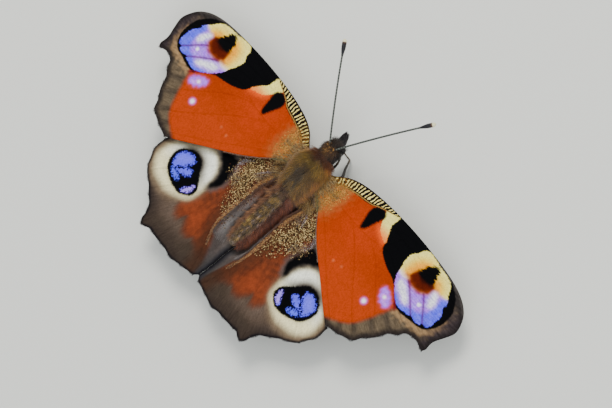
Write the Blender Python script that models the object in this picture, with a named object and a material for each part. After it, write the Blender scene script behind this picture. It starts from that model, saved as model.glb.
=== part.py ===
"""Peacock butterfly, life size, standing with its four wings spread flat.

Every size below is in millimetres, in the insect's own frame: +X is its right side, +Y is forward,
+Z is up, and z = 0 is the level where the wings leave the thorax. The model is shifted and turned
into metres at the very end, so that the feet stand on the floor under the middle of its box.
"""
import math

import bmesh
import bpy
from mathutils import Matrix, Vector, geometry

MM = 0.001
GAP = 0.3
SLIVER = 0.002

# How the insect stands
FLOOR = -5.3
BACK_REACH = -23.75
FRONT_REACH = 17.99

# Wings: the span is the driving size, and the outlines below are drawn at this half span
HALF_SPAN = 32.3
WING_THICK = 0.5
WING_STEP = 1.05
VEIN_HEIGHT = 0.22
VEIN_TIP_HEIGHT = 0.10
VEIN_WIDTH = 0.34
VEIN_STEP = 1.5
GRID_STEP = 2.4
GRID_CLEARANCE = 1.08
PLAN_MERGE = 0.02
MARGIN_STEP = 0.85
EDGE_STEP = 1.7

# Forewing camber: level of its middle line, and how far root, leading edge and tip fall below it
FOREWING_LEVEL = 0.5
ROOT_FALL = 0.4
ROOT_FALL_END = 12.0
LEADING_FALL = 1.0
LEADING_FALL_START = -3.0
LEADING_FALL_REACH = 8.0
TIP_FALL = 1.8
TIP_FALL_START = 22.0

# Hindwing crest: the raised fold beside the abdomen, and the gutter inside it that holds the abdomen.
# A pair of y values gives where a form begins and where it is whole.
CREST_LIFT = 1.6
CREST_SPREAD = 2.6
CREST_X = 3.45
CREST_END_X = 0.85
CREST_FRONT = (-4.4, -7.8)
CREST_REAR = (-22.0, -14.5)
CREST_TURN = (-23.5, -14.0)
GUTTER_FLOOR = -3.2
GUTTER_MOUTH_X = 2.2
GUTTER_EDGE_X = 0.4
GUTTER_FRONT = (-4.2, -5.7)
GUTTER_REAR = (-17.5, -13.4)
GUTTER_NARROWS = (-5.0, -6.8)
GUTTER_WALL = 0.62
VALLEY_DROP = 0.6
VALLEY_REAR = (-22.8, -19.0)
MEETING_X = 0.17
MEETING = (-17.6, -15.4)
FOLD_LINES = (0.0, 0.1, 0.21, 0.31, 0.41, 0.52, 0.62)
FOLD_LINE_ENDS = (-21.6, -5.6)
FOLD_LINE_STEPS = 14
INNER_EDGE_STEPS = 22

# Corners and points of the right forewing's outline, from the root round to the root
FOREWING_ROOT_FRONT = (0.9, 0.9)
FOREWING_FALCATE = (31.35, -4.95)
FOREWING_TORNUS = (19.1, -12.9)
FOREWING_ROOT_REAR = (0.9, -0.7)
FOREWING_LEADING = [
    FOREWING_ROOT_FRONT, (2.8, 1.75), (5.0, 3.45), (8.0, 4.45), (12.8, 5.05), (18.8, 5.2),
    (25.2, 4.85), (28.8, 4.1), (30.9, 2.9), (31.95, 1.4), (HALF_SPAN, 0.0), (31.8, -1.6),
    (31.35, -2.9), FOREWING_FALCATE]
FOREWING_OUTER = [
    FOREWING_FALCATE, (30.4, -4.85), (29.0, -4.85), (27.9, -5.15), (27.1, -6.2), (26.1, -7.2),
    (25.35, -8.8), (24.3, -10.0), (23.5, -11.4), (21.8, -12.15), (20.3, -12.6), FOREWING_TORNUS]
FOREWING_TRAILING = [
    FOREWING_TORNUS, (17.3, -11.8), (14.2, -9.75), (11.3, -7.85), (9.1, -6.35), (7.0, -4.65),
    (5.0, -2.75), (3.2, -1.5), FOREWING_ROOT_REAR]

# The same for the right hindwing; its leading edge lies hidden under the forewing
HINDWING_ROOT_FRONT = (0.9, -1.6)
HINDWING_SHOULDER = (19.2, -13.0)
HINDWING_TAIL = (12.0, -23.75)
HINDWING_ANAL = (0.6, -22.75)
HINDWING_INNER_ENDS = (-22.15, -4.8)
HINDWING_MOUTH = (2.0, -4.2)
HINDWING_ROOT_REAR = (0.9, -3.9)
HINDWING_LEADING = [
    HINDWING_ROOT_FRONT, (3.6, -1.7), (7.2, -1.75), (11.6, -3.6), (15.6, -6.9), (18.2, -10.3),
    HINDWING_SHOULDER]
HINDWING_OUTER = [
    HINDWING_SHOULDER, (19.3, -14.9), (18.4, -16.8), (17.4, -18.1), (15.9, -19.0), (14.4, -20.15),
    (13.2, -21.1), (12.6, -22.6), HINDWING_TAIL]
HINDWING_REAR = [
    HINDWING_TAIL, (11.2, -23.6), (10.3, -23.2), (8.6, -23.35), (6.6, -23.4), (4.8, -23.65),
    (3.3, -23.3), (1.8, -23.0), HINDWING_ANAL]

# Veins: stem lines of each wing's cell, then the branches that run to the margin
FOREWING_VEINS = {
    "subcosta": [(2.9, 1.0), (8.0, 3.8), (13.0, 4.5), (17.6, 4.95)],
    "radius": [(2.9, 0.6), (6.0, 2.3), (10.0, 3.1), (14.0, 3.35), (17.0, 3.3), (23.5, 3.2), (27.0, 2.9),
               (30.3, 2.5)],
    "radius_1": [(14.0, 3.35), (17.5, 4.2), (21.0, 4.85)],
    "radius_3": [(23.5, 3.2), (25.6, 4.0), (27.6, 4.15)],
    "radius_5": [(23.5, 3.2), (27.5, 1.7), (31.6, -0.1)],
    "median_1": [(17.0, 3.3), (20.5, 2.7), (25.0, 0.7), (28.3, -2.4), (31.0, -4.6)],
    "median_2": [(16.6, 2.0), (19.6, 1.5), (23.2, -0.4), (26.3, -2.8), (28.7, -4.55)],
    "median_3": [(15.8, 0.5), (18.0, 0.5), (20.8, -1.0), (24.4, -4.1), (26.8, -6.1)],
    "cell_end": [(17.0, 3.3), (16.6, 2.0), (15.8, 0.5)],
    "cubitus": [(2.9, 0.0), (6.5, -0.3), (10.2, -0.35), (13.9, -0.1), (15.8, 0.5)],
    "cubitus_1": [(13.9, -0.1), (17.4, -1.9), (21.6, -5.5), (25.0, -8.5)],
    "cubitus_2": [(10.2, -0.35), (14.0, -3.1), (18.9, -7.6), (23.1, -11.1)],
    "anal": [(2.9, -0.5), (8.0, -3.9), (13.6, -8.2), (19.6, -12.3)],
}
HINDWING_VEINS = {
    "subcosta": [(3.0, -2.3), (6.0, -2.6), (11.0, -4.7), (15.0, -8.0), (18.5, -12.8)],
    "radius": [(3.0, -2.6), (6.4, -4.4), (10.6, -8.0), (15.0, -11.4), (18.9, -14.4)],
    "median_1": [(8.5, -6.2), (11.2, -10.7), (14.2, -14.1), (17.3, -17.7)],
    "median_2": [(9.3, -7.6), (10.9, -12.4), (12.9, -16.3), (14.9, -19.3)],
    "median_3": [(6.3, -8.6), (8.5, -12.0), (10.4, -17.4), (11.8, -23.2)],
    "cubitus": [(3.0, -3.0), (4.6, -5.6), (6.3, -8.6)],
    "cubitus_1": [(5.9, -7.9), (6.9, -12.2), (7.9, -17.6), (8.5, -23.0)],
    "cubitus_2": [(5.2, -6.6), (5.4, -12.0), (5.0, -18.0), (4.8, -23.4)],
    "anal": [(4.0, -6.6), (4.2, -11.0), (3.6, -16.0), (2.2, -20.0), (1.4, -22.6)],
}

# Body: each station is (y, half width, half height, z of its middle)
BODY_SIDES = 22
THORAX_STEP = 0.4
HEAD_STEP = 0.17
THORAX = [
    (-4.55, 0.30, 0.30, -0.10), (-4.35, 0.95, 0.90, -0.05), (-3.6, 1.70, 1.65, 0.05),
    (-2.3, 2.35, 2.25, 0.25), (-0.7, 2.65, 2.52, 0.42), (0.7, 2.45, 2.35, 0.45), (1.7, 1.95, 1.95, 0.45),
    (2.4, 1.45, 1.50, 0.45), (2.75, 0.95, 1.00, 0.45), (2.9, 0.30, 0.30, 0.45)]
HEAD = [
    (2.9, 0.40, 0.45, 0.45), (3.05, 0.90, 0.95, 0.45), (3.5, 1.20, 1.25, 0.48), (4.1, 1.25, 1.32, 0.50),
    (4.6, 1.02, 1.10, 0.45), (4.95, 0.62, 0.72, 0.38), (5.08, 0.25, 0.30, 0.34)]
ABDOMEN = [
    (-4.1, 0.85, 0.85, -0.10), (-4.9, 1.38, 1.30, -0.20), (-6.2, 1.62, 1.55, -0.45),
    (-8.5, 1.70, 1.64, -0.82), (-11.0, 1.70, 1.66, -0.95), (-13.4, 1.48, 1.42, -0.75),
    (-15.0, 0.98, 0.92, -0.42), (-15.75, 0.48, 0.45, -0.25), (-15.95, 0.15, 0.15, -0.20)]
ABDOMEN_FIRST_GROOVE = -6.0
ABDOMEN_SEGMENT = 1.45
ABDOMEN_GROOVES = 6
GROOVE_DEPTH = 0.10
GROOVE_WIDTH = 0.16
ABDOMEN_TIP_START = -14.5

EYE_CENTRE = (1.02, 4.02, 0.45)
EYE_HALF = (0.66, 0.80, 0.92)
EYE_INNER_X = 0.72

# Feelers, palps and tongue
ANTENNA_ROOT = (0.36, 4.04, 1.32)
ANTENNA_TIPS = {"right": (9.35, 17.6, 5.0), "left": (-9.7, 16.0, 5.0)}
ANTENNA_RISE = 0.45
ANTENNA_STEPS = 16
ANTENNA_RADIUS = 0.26
CLUB_RADIUS = 0.45
CLUB_LENGTH = 2.1
PALP_PATH = [(0.42, 4.3, -0.15), (0.47, 5.1, 0.0), (0.46, 5.8, 0.45), (0.38, 6.5, 0.95), (0.30, 6.95, 1.25)]
PALP_RADII = [0.27, 0.30, 0.29, 0.23, 0.12]
TONGUE_STEM = [(0.0, 3.8, -0.2), (0.0, 3.53, -0.85)]
TONGUE_CENTRE = (0.0, 4.55, -2.15)
TONGUE_START = math.radians(158.0)
TONGUE_STEPS_PER_TURN = 10
TONGUE_OUTER = 1.15
TONGUE_PITCH = 0.82
TONGUE_TURNS = 1.25
TONGUE_RADIUS = 0.25

# Legs: each path runs from inside the thorax to the end of the foot
LEG_RADII = [0.36, 0.36, 0.34, 0.30, 0.26, 0.25, 0.25, 0.22]
FOOT_HEIGHT = FLOOR + 0.19
LEG_PATHS = {
    "midleg_right": [
        (1.0, 0.6, -0.9), (1.75, 1.1, -2.1), (3.25, 2.35, -1.45), (2.1, 3.6, -2.85),
        (0.95, 4.75, -4.35), (0.45, 4.85, FOOT_HEIGHT), (-0.35, 4.9, FOOT_HEIGHT), (-1.1, 5.0, FOOT_HEIGHT)],
    "midleg_left": [
        (-1.0, 0.6, -0.9), (-1.7, 0.9, -2.2), (-2.9, 1.3, -1.6), (-2.75, 2.2, -3.1),
        (-2.6, 3.0, -4.5), (-2.6, 3.6, FOOT_HEIGHT), (-2.75, 4.5, FOOT_HEIGHT), (-2.9, 5.4, FOOT_HEIGHT)],
    "hindleg_right": [
        (0.9, -1.6, -0.9), (1.6, -1.9, -2.3), (3.7, -3.3, -2.0), (4.5, -5.0, -3.4),
        (5.2, -6.6, -4.7), (5.4, -7.3, FOOT_HEIGHT), (5.8, -8.6, FOOT_HEIGHT), (6.2, -9.9, FOOT_HEIGHT)],
    "hindleg_left": [
        (-0.9, -1.6, -0.9), (-1.6, -1.9, -2.3), (-3.6, -3.4, -2.0), (-4.2, -5.2, -3.4),
        (-4.7, -6.9, -4.7), (-4.8, -7.6, FOOT_HEIGHT), (-5.0, -8.9, FOOT_HEIGHT), (-5.2, -10.2, FOOT_HEIGHT)],
}
FORELEG_PATH = [(0.8, 1.4, -0.8), (1.05, 1.9, -1.9), (1.05, 3.1, -2.0), (0.95, 4.1, -1.45)]
FORELEG_RADII = [0.28, 0.28, 0.27, 0.22]
TUBE_SIDES = 8
TUBE_STEP = 0.6
SHORT_TUBE_STEP = 0.4
ROUND_END = 0.62

COLOURS = {
    "forewing": (0.52, 0.09, 0.02), "hindwing": (0.28, 0.07, 0.03), "thorax": (0.16, 0.09, 0.03),
    "abdomen": (0.12, 0.08, 0.04), "head": (0.08, 0.04, 0.02), "eye": (0.02, 0.012, 0.01),
    "antenna": (0.06, 0.05, 0.03), "palp": (0.03, 0.025, 0.03), "tongue": (0.05, 0.03, 0.02),
    "leg": (0.05, 0.04, 0.03)}
ROUGHNESS = {"eye": 0.25, "tongue": 0.4, "leg": 0.6, "antenna": 0.6}
PLAIN_ROUGHNESS = 0.85


def clear_scene():
    for thing in list(bpy.data.objects):
        bpy.data.objects.remove(thing, do_unlink=True)


def smoothstep(low, high, value):
    t = min(1.0, max(0.0, (value - low) / (high - low)))
    return t * t * (3.0 - 2.0 * t)


def mix(a, b, t):
    return a + (b - a) * t


def spline(points, step):
    """A smooth curve through the points, with a point about every step."""
    pts = [Vector(p) for p in points]
    pts = [2.0 * pts[0] - pts[1]] + pts + [2.0 * pts[-1] - pts[-2]]
    out = []
    for a, b, c, d in zip(pts, pts[1:], pts[2:], pts[3:]):
        count = max(1, round((c - b).length / step))
        for k in range(count):
            t = k / count
            out.append(0.5 * ((2.0 * b) + (c - a) * t + (2.0 * a - 5.0 * b + 4.0 * c - d) * t * t
                              + (3.0 * b - a - 3.0 * c + d) * t ** 3))
    out.append(pts[-2])
    return out


def station_at(stations, y):
    """Half width, half height and middle of a body at y, read smoothly from its stations."""
    rows = sorted(stations)
    y = min(max(y, rows[0][0]), rows[-1][0])
    k = max(i for i, row in enumerate(rows[:-1]) if row[0] <= y)
    span = rows[k + 1][0] - rows[k][0]
    t = (y - rows[k][0]) / span
    values = []
    for j in (1, 2, 3):
        before = rows[max(k - 1, 0)]
        after = rows[min(k + 2, len(rows) - 1)]
        slope_a = (rows[k + 1][j] - before[j]) / (rows[k + 1][0] - before[0]) * span
        slope_b = (after[j] - rows[k][j]) / (after[0] - rows[k][0]) * span
        values.append((2 * t ** 3 - 3 * t * t + 1) * rows[k][j] + (t ** 3 - 2 * t * t + t) * slope_a
                      + (3 * t * t - 2 * t ** 3) * rows[k + 1][j] + (t ** 3 - t * t) * slope_b)
    return values


def new_object(name, bm):
    bmesh.ops.recalc_face_normals(bm, faces=bm.faces)
    mesh = bpy.data.meshes.new(name)
    bm.to_mesh(mesh)
    bm.free()
    thing = bpy.data.objects.new(name, mesh)
    bpy.context.collection.objects.link(thing)
    return thing


def body_ring(wide, y, centre, tall):
    """One upright oval of points across the body."""
    angles = [2.0 * math.pi * k / BODY_SIDES for k in range(BODY_SIDES)]
    return [Vector((wide * math.cos(a), y, centre + tall * math.sin(a))) for a in angles]


def skin_rings(name, rings):
    """Joins rings of points into one closed body, with a fan over each end."""
    bm = bmesh.new()
    loops = [[bm.verts.new(p) for p in ring] for ring in rings]
    for low, high in zip(loops, loops[1:]):
        for k in range(len(low)):
            n = (k + 1) % len(low)
            bm.faces.new((low[k], low[n], high[n], high[k]))
    for loop in (loops[0], loops[-1]):
        middle = bm.verts.new(sum((v.co for v in loop), Vector()) / len(loop))
        for k in range(len(loop)):
            bm.faces.new((loop[k], loop[(k + 1) % len(loop)], middle))
    bmesh.ops.triangulate(bm, faces=bm.faces)
    return new_object(name, bm)


def loft(name, stations, ring_step, grow=0.0):
    """A round body along Y; grow makes the same shape fatter and longer, as a cutter."""
    rows = sorted(stations)
    low, high = rows[0][0], rows[-1][0]
    middle = (low + high) / 2.0
    stretch = 1.0 + 2.0 * grow / (high - low)
    count = round((high - low) / ring_step)
    rings = []
    for i in range(count + 1):
        # Rings crowd towards the ends, where the body rounds over
        y = middle - (high - low) / 2.0 * math.cos(math.pi * i / count)
        wide, tall, centre = station_at(rows, y)
        rings.append(body_ring(wide + grow, middle + (y - middle) * stretch, centre, tall + grow))
    return skin_rings(name, rings)


def tube(name, path, radii, sides=TUBE_SIDES, floor=None):
    """A tapered tube with rounded ends; nothing of it goes below the floor, so a foot has a flat sole."""
    along = [path[1] - path[0]] + [b - a for a, b in zip(path, path[2:])] + [path[-1] - path[-2]]
    along = [d.normalized() for d in along]
    across = along[0].orthogonal().normalized()
    ends = [(path[0] - along[0] * radii[0] * ROUND_END, radii[0] * ROUND_END)]
    ends += list(zip(path, radii))
    ends += [(path[-1] + along[-1] * radii[-1] * ROUND_END, radii[-1] * ROUND_END)]
    directions = [along[0]] + along + [along[-1]]
    rings = []
    for (centre, radius), direction in zip(ends, directions):
        across = (across - direction * across.dot(direction)).normalized()
        other = direction.cross(across)
        ring = [centre + radius * (math.cos(a) * across + math.sin(a) * other)
                for a in (2.0 * math.pi * (k + 0.5) / sides for k in range(sides))]
        if floor is not None:
            ring = [Vector((p.x, p.y, max(p.z, floor))) for p in ring]
        rings.append(ring)
    return skin_rings(name, rings)


def path_with_radii(points, radii, step):
    """A smooth path through the points, with the radii read at the same places."""
    out = []
    for k in range(len(points) - 1):
        length = (Vector(points[k + 1]) - Vector(points[k])).length
        count = max(1, round(length / step))
        out += [mix(radii[k], radii[k + 1], i / count) for i in range(count)]
    return spline(points, step), out + [radii[-1]]


def largest_shell(bm):
    """Deletes every closed surface but the largest."""
    left = set(bm.verts)
    shells = []
    while left:
        stack = [left.pop()]
        shell = set(stack)
        while stack:
            for edge in stack.pop().link_edges:
                for vert in edge.verts:
                    if vert in left:
                        left.discard(vert)
                        shell.add(vert)
                        stack.append(vert)
        shells.append(shell)
    shells.sort(key=len)
    bmesh.ops.delete(bm, geom=[v for shell in shells[:-1] for v in shell], context="VERTS")


def cut(target, cutter):
    """Takes the cutter away from the target and removes the cutter."""
    modifier = target.modifiers.new("cut", "BOOLEAN")
    modifier.operation = "DIFFERENCE"
    modifier.object = cutter
    bpy.context.view_layer.update()
    graph = bpy.context.evaluated_depsgraph_get()
    mesh = bpy.data.meshes.new_from_object(target.evaluated_get(graph))
    target.modifiers.clear()
    bm = bmesh.new()
    bm.from_mesh(mesh)
    bmesh.ops.triangulate(bm, faces=bm.faces)
    bmesh.ops.dissolve_degenerate(bm, edges=bm.edges, dist=SLIVER)
    bmesh.ops.triangulate(bm, faces=bm.faces)
    largest_shell(bm)
    bm.to_mesh(mesh)
    bm.free()
    target.data = mesh
    bpy.data.objects.remove(cutter, do_unlink=True)


def forewing_height(x, y):
    """Middle surface of the forewing: flat in the middle, falling to root, leading edge and tip."""
    z = FOREWING_LEVEL
    z -= ROOT_FALL * max(0.0, 1.0 - x / ROOT_FALL_END) ** 2
    z -= LEADING_FALL * max(0.0, (y - LEADING_FALL_START) / LEADING_FALL_REACH) ** 2
    z -= TIP_FALL * max(0.0, (x - TIP_FALL_START) / (HALF_SPAN - TIP_FALL_START)) ** 2
    return z


def crest_x(y):
    """Where the hindwing's raised fold runs: beside the abdomen, then in towards the middle behind it."""
    return mix(CREST_END_X, CREST_X, smoothstep(*CREST_TURN, y))


def inner_edge_x(y):
    """The hindwing's inner margin: under the abdomen's side, and a meeting line behind its tip."""
    beside = mix(GUTTER_MOUTH_X, GUTTER_EDGE_X, smoothstep(*GUTTER_NARROWS, y))
    return mix(MEETING_X, beside, smoothstep(*MEETING, y))


def hindwing_height(x, y):
    """Middle surface of the hindwing, one step below the forewing, with its crest and gutter."""
    base = forewing_height(x, y) - WING_STEP
    lift = CREST_LIFT * smoothstep(*CREST_FRONT, y) * smoothstep(*CREST_REAR, y)
    crest = crest_x(y)
    if x >= crest:
        return base + lift * math.exp(-((x - crest) / CREST_SPREAD) ** 2)
    valley = base - VALLEY_DROP * smoothstep(*VALLEY_REAR, y)
    low = mix(valley, GUTTER_FLOOR, smoothstep(*GUTTER_REAR, y))
    low = mix(base, low, smoothstep(*GUTTER_FRONT, y))
    inward = (crest - x) / (crest - inner_edge_x(y))
    return base + lift - (base + lift - low) * smoothstep(0.0, GUTTER_WALL, inward)


def surface_normal(height, x, y):
    reach = 0.02
    dzdx = (height(x + reach, y) - height(x - reach, y)) / (2.0 * reach)
    dzdy = (height(x, y + reach) - height(x, y - reach)) / (2.0 * reach)
    return Vector((-dzdx, -dzdy, 1.0)).normalized()


def distance_to(point, line):
    """Distance from a point to a run of straight pieces, and how far along the run it is, from 0 to 1."""
    best, place = 1e9, 0.0
    for k, (a, b) in enumerate(zip(line, line[1:])):
        ab = b - a
        t = min(1.0, max(0.0, (point - a).dot(ab) / ab.length_squared))
        d = (point - a - ab * t).length
        if d < best:
            best, place = d, (k + t) / (len(line) - 1)
    return best, place


def inside(point, polygon):
    hit = False
    for a, b in zip(polygon, polygon[1:] + polygon[:1]):
        if (a.y > point.y) != (b.y > point.y):
            if point.x < a.x + (point.y - a.y) / (b.y - a.y) * (b.x - a.x):
                hit = not hit
    return hit


def flank(line, offset):
    """The line moved sideways by offset."""
    out = []
    for k, p in enumerate(line):
        d = line[min(k + 1, len(line) - 1)] - line[max(k - 1, 0)]
        side = Vector((-d.y, d.x)).normalized()
        out.append(p + side * offset)
    return out


def wing_plan(outline, veins, guides):
    """Splits a wing's outline into triangles that follow its veins and guide lines."""
    points, edges = [], []

    def add_run(run, closed=False):
        first = len(points)
        points.extend(run)
        edges.extend((first + k, first + k + 1) for k in range(len(run) - 1))
        if closed:
            edges.append((len(points) - 1, first))

    add_run(outline, closed=True)
    for line in veins:
        add_run(line)
        add_run(flank(line, VEIN_WIDTH)[1:])
        add_run(flank(line, -VEIN_WIDTH)[1:])
    for line in guides:
        add_run(line)
    xs = [p.x for p in outline]
    ys = [p.y for p in outline]
    fixed = list(points)
    for i in range(int((max(xs) - min(xs)) / GRID_STEP) + 1):
        for j in range(int((max(ys) - min(ys)) / GRID_STEP) + 1):
            shift = 0.5 * GRID_STEP * (j % 2)
            p = Vector((min(xs) + i * GRID_STEP + shift, min(ys) + (j + 0.5) * GRID_STEP))
            if inside(p, outline) and min((p - q).length for q in fixed) > GRID_CLEARANCE:
                points.append(p)
    inside_only = 1
    verts, _, faces, *_ = geometry.delaunay_2d_cdt(points, edges, [], inside_only, PLAN_MERGE)
    faces = [f for f in faces if inside(sum((verts[i] for i in f), Vector((0.0, 0.0))) / 3.0, outline)]
    return verts, faces


def ridge(point, veins):
    """How far the veins raise the membrane at a point."""
    height = 0.0
    for line in veins:
        away, place = distance_to(point, line)
        height = max(height, mix(VEIN_HEIGHT, VEIN_TIP_HEIGHT, place) * max(0.0, 1.0 - away / VEIN_WIDTH))
    return height


def wing(name, outline, veins, height, side, guides=()):
    """A thin closed wing: both faces share one triangle plan, and the veins are raised in the upper one."""
    lines = [spline(v, VEIN_STEP) for v in veins.values()]
    verts, faces = wing_plan(outline, lines, guides)
    bm = bmesh.new()
    top, bottom = [], []
    for p in verts:
        middle = Vector((p.x, p.y, height(p.x, p.y)))
        normal = surface_normal(height, p.x, p.y)
        upper = middle + normal * (WING_THICK / 2.0 + ridge(p, lines))
        lower = middle - normal * (WING_THICK / 2.0)
        for row, q in ((top, upper), (bottom, lower)):
            row.append(bm.verts.new((side * q.x, q.y, q.z)))
    counts = {}
    for f in faces:
        bm.faces.new([top[i] for i in f])
        bm.faces.new([bottom[i] for i in reversed(f)])
        for a, b in zip(f, f[1:] + f[:1]):
            counts[frozenset((a, b))] = counts.get(frozenset((a, b)), 0) + 1
    for pair, count in counts.items():
        if count == 1:
            a, b = pair
            bm.faces.new((top[a], top[b], bottom[b], bottom[a]))
    bmesh.ops.delete(bm, geom=[v for v in bm.verts if not v.link_faces], context="VERTS")
    bmesh.ops.triangulate(bm, faces=bm.faces)
    return new_object(name, bm)


def forewing_outline():
    edge = spline(FOREWING_LEADING, EDGE_STEP)[:-1]
    edge += spline(FOREWING_OUTER, MARGIN_STEP)[:-1]
    edge += spline(FOREWING_TRAILING, EDGE_STEP)
    return edge


def hindwing_outline():
    edge = spline(HINDWING_LEADING, EDGE_STEP)[:-1]
    edge += spline(HINDWING_OUTER, MARGIN_STEP)[:-1]
    edge += spline(HINDWING_REAR, MARGIN_STEP)
    low, high = HINDWING_INNER_ENDS
    for k in range(INNER_EDGE_STEPS + 1):
        y = mix(low, high, k / INNER_EDGE_STEPS)
        edge.append(Vector((inner_edge_x(y), y)))
    edge.append(Vector(HINDWING_MOUTH))
    edge.append(Vector(HINDWING_ROOT_REAR))
    return edge


def fold_guides():
    """Lines along the hindwing's crest and down into its gutter, so that the fold is round."""
    lines = []
    for share in FOLD_LINES:
        line = []
        for k in range(FOLD_LINE_STEPS + 1):
            y = mix(*FOLD_LINE_ENDS, k / FOLD_LINE_STEPS)
            x = mix(crest_x(y), inner_edge_x(y), share)
            line.append(Vector((x, y)))
        lines.append(line)
    return lines


def abdomen_groove(y):
    depth = 0.0
    for k in range(ABDOMEN_GROOVES):
        away = (y - ABDOMEN_FIRST_GROOVE + k * ABDOMEN_SEGMENT) / GROOVE_WIDTH
        depth = max(depth, GROOVE_DEPTH * math.exp(-away * away))
    return depth


def make_abdomen():
    """Rings stand in the grooves and between them, so that each segment reads."""
    rows = sorted(ABDOMEN)
    stops = [row[0] for row in rows if row[0] < ABDOMEN_TIP_START or row[0] > ABDOMEN_FIRST_GROOVE]
    for k in range(ABDOMEN_GROOVES):
        groove = ABDOMEN_FIRST_GROOVE - k * ABDOMEN_SEGMENT
        stops += [groove - 2.0 * GROOVE_WIDTH, groove, groove + 2.0 * GROOVE_WIDTH]
        stops.append(groove - 0.5 * ABDOMEN_SEGMENT)
    rings = []
    for y in sorted(stops):
        wide, tall, centre = station_at(rows, y)
        rings.append(body_ring(wide - abdomen_groove(y), y, centre, tall - abdomen_groove(y)))
    return skin_rings("abdomen", rings)


def eye_ball(name, side, grow=0.0):
    """Half an ellipsoid that bulges from the head; grow makes the socket that it sits in."""
    bm = bmesh.new()
    bmesh.ops.create_uvsphere(bm, u_segments=18, v_segments=12, radius=1.0)
    half = [h + grow for h in EYE_HALF]
    turn = Matrix.Rotation(math.pi / 2.0, 4, "Y")
    place = Matrix.Translation((side * EYE_CENTRE[0], EYE_CENTRE[1], EYE_CENTRE[2]))
    bm.transform(place @ Matrix.Diagonal((*half, 1.0)) @ turn)
    inner = (EYE_INNER_X - grow) * side
    geom = list(bm.verts) + list(bm.edges) + list(bm.faces)
    bmesh.ops.bisect_plane(bm, geom=geom, dist=0.0001, plane_co=(inner, 0.0, 0.0), plane_no=(-side, 0.0, 0.0),
                           clear_outer=True)
    bmesh.ops.holes_fill(bm, edges=bm.edges)
    bmesh.ops.triangulate(bm, faces=bm.faces)
    return new_object(name, bm)


def antenna(name, side):
    """A slender shaft, a little bowed upwards, that thickens into a club."""
    root = Vector((ANTENNA_ROOT[0] * (1 if side == "right" else -1), ANTENNA_ROOT[1], ANTENNA_ROOT[2]))
    tip = Vector(ANTENNA_TIPS[side])
    length = (tip - root).length
    path, radii = [], []
    for k in range(ANTENNA_STEPS + 1):
        # Steps crowd towards the club
        t = 1.0 - (1.0 - k / ANTENNA_STEPS) ** 1.5
        path.append(root.lerp(tip, t) + Vector((0.0, 0.0, ANTENNA_RISE * 4.0 * t * (1.0 - t))))
        into_club = smoothstep(length - 1.5 * CLUB_LENGTH, length - 0.5 * CLUB_LENGTH, t * length)
        radii.append(mix(ANTENNA_RADIUS, CLUB_RADIUS, into_club))
    return tube(name, path, radii)


def tongue():
    """The tongue leaves the underside of the head and rolls into a coil."""
    centre = Vector(TONGUE_CENTRE)
    points = [Vector(p) for p in TONGUE_STEM]
    steps = round(TONGUE_STEPS_PER_TURN * TONGUE_TURNS)
    for k in range(steps + 1):
        turn = k / steps * TONGUE_TURNS
        radius = TONGUE_OUTER - TONGUE_PITCH * turn
        angle = TONGUE_START + turn * 2.0 * math.pi
        points.append(centre + Vector((0.0, radius * math.cos(angle), radius * math.sin(angle))))
    radii = [TONGUE_RADIUS] * len(points)
    return tube("tongue", *path_with_radii(points, radii, SHORT_TUBE_STEP))


def material(kind):
    surface = bpy.data.materials.get(kind) or bpy.data.materials.new(kind)
    surface.use_nodes = True
    shader = surface.node_tree.nodes["Principled BSDF"]
    shader.inputs["Base Color"].default_value = (*COLOURS[kind], 1.0)
    shader.inputs["Roughness"].default_value = ROUGHNESS.get(kind, PLAIN_ROUGHNESS)
    shader.inputs["Metallic"].default_value = 0.0
    return surface


def finish(thing, kind, stand):
    thing.data.materials.clear()
    thing.data.materials.append(material(kind))
    thing.data.transform(Matrix.Scale(MM, 4))
    thing.data.shade_smooth()
    thing.data.set_sharp_from_angle(angle=math.radians(50.0))
    thing.parent = stand


def grown_thorax():
    return loft("cutter", THORAX, THORAX_STEP, grow=GAP)


def grown_head():
    return loft("cutter", HEAD, HEAD_STEP, grow=GAP)


def main():
    clear_scene()
    made = [(loft("thorax", THORAX, THORAX_STEP), "thorax")]
    head = loft("head", HEAD, HEAD_STEP)
    cut(head, grown_thorax())
    for side, word in ((1, "right"), (-1, "left")):
        made.append((eye_ball("eye_" + word, side), "eye"))
        cut(head, eye_ball("cutter", side, grow=GAP))
        feeler = antenna("antenna_" + word, word)
        cut(feeler, grown_head())
        made.append((feeler, "antenna"))
        palp_path = [(side * x, y, z) for x, y, z in PALP_PATH]
        palp = tube("palp_" + word, *path_with_radii(palp_path, PALP_RADII, SHORT_TUBE_STEP))
        cut(palp, grown_head())
        made.append((palp, "palp"))
        foreleg_path = [(side * x, y, z) for x, y, z in FORELEG_PATH]
        foreleg = tube("foreleg_" + word, *path_with_radii(foreleg_path, FORELEG_RADII, TUBE_STEP))
        cut(foreleg, grown_thorax())
        made.append((foreleg, "leg"))
        front = wing("forewing_" + word, forewing_outline(), FOREWING_VEINS, forewing_height, side)
        cut(front, grown_thorax())
        made.append((front, "forewing"))
        rear = wing("hindwing_" + word, hindwing_outline(), HINDWING_VEINS, hindwing_height, side,
                    fold_guides())
        cut(rear, grown_thorax())
        made.append((rear, "hindwing"))
    made.append((head, "head"))
    abdomen = make_abdomen()
    cut(abdomen, grown_thorax())
    made.append((abdomen, "abdomen"))
    coil = tongue()
    cut(coil, grown_head())
    made.append((coil, "tongue"))
    for name, points in LEG_PATHS.items():
        leg = tube(name, *path_with_radii(points, LEG_RADII, TUBE_STEP), floor=FLOOR)
        cut(leg, grown_thorax())
        made.append((leg, "leg"))
    stand = bpy.data.objects.new("butterfly", None)
    bpy.context.collection.objects.link(stand)
    stand.location = (0.0, -(BACK_REACH + FRONT_REACH) / 2.0 * MM, -FLOOR * MM)
    for thing, kind in made:
        finish(thing, kind, stand)


main()
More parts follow.
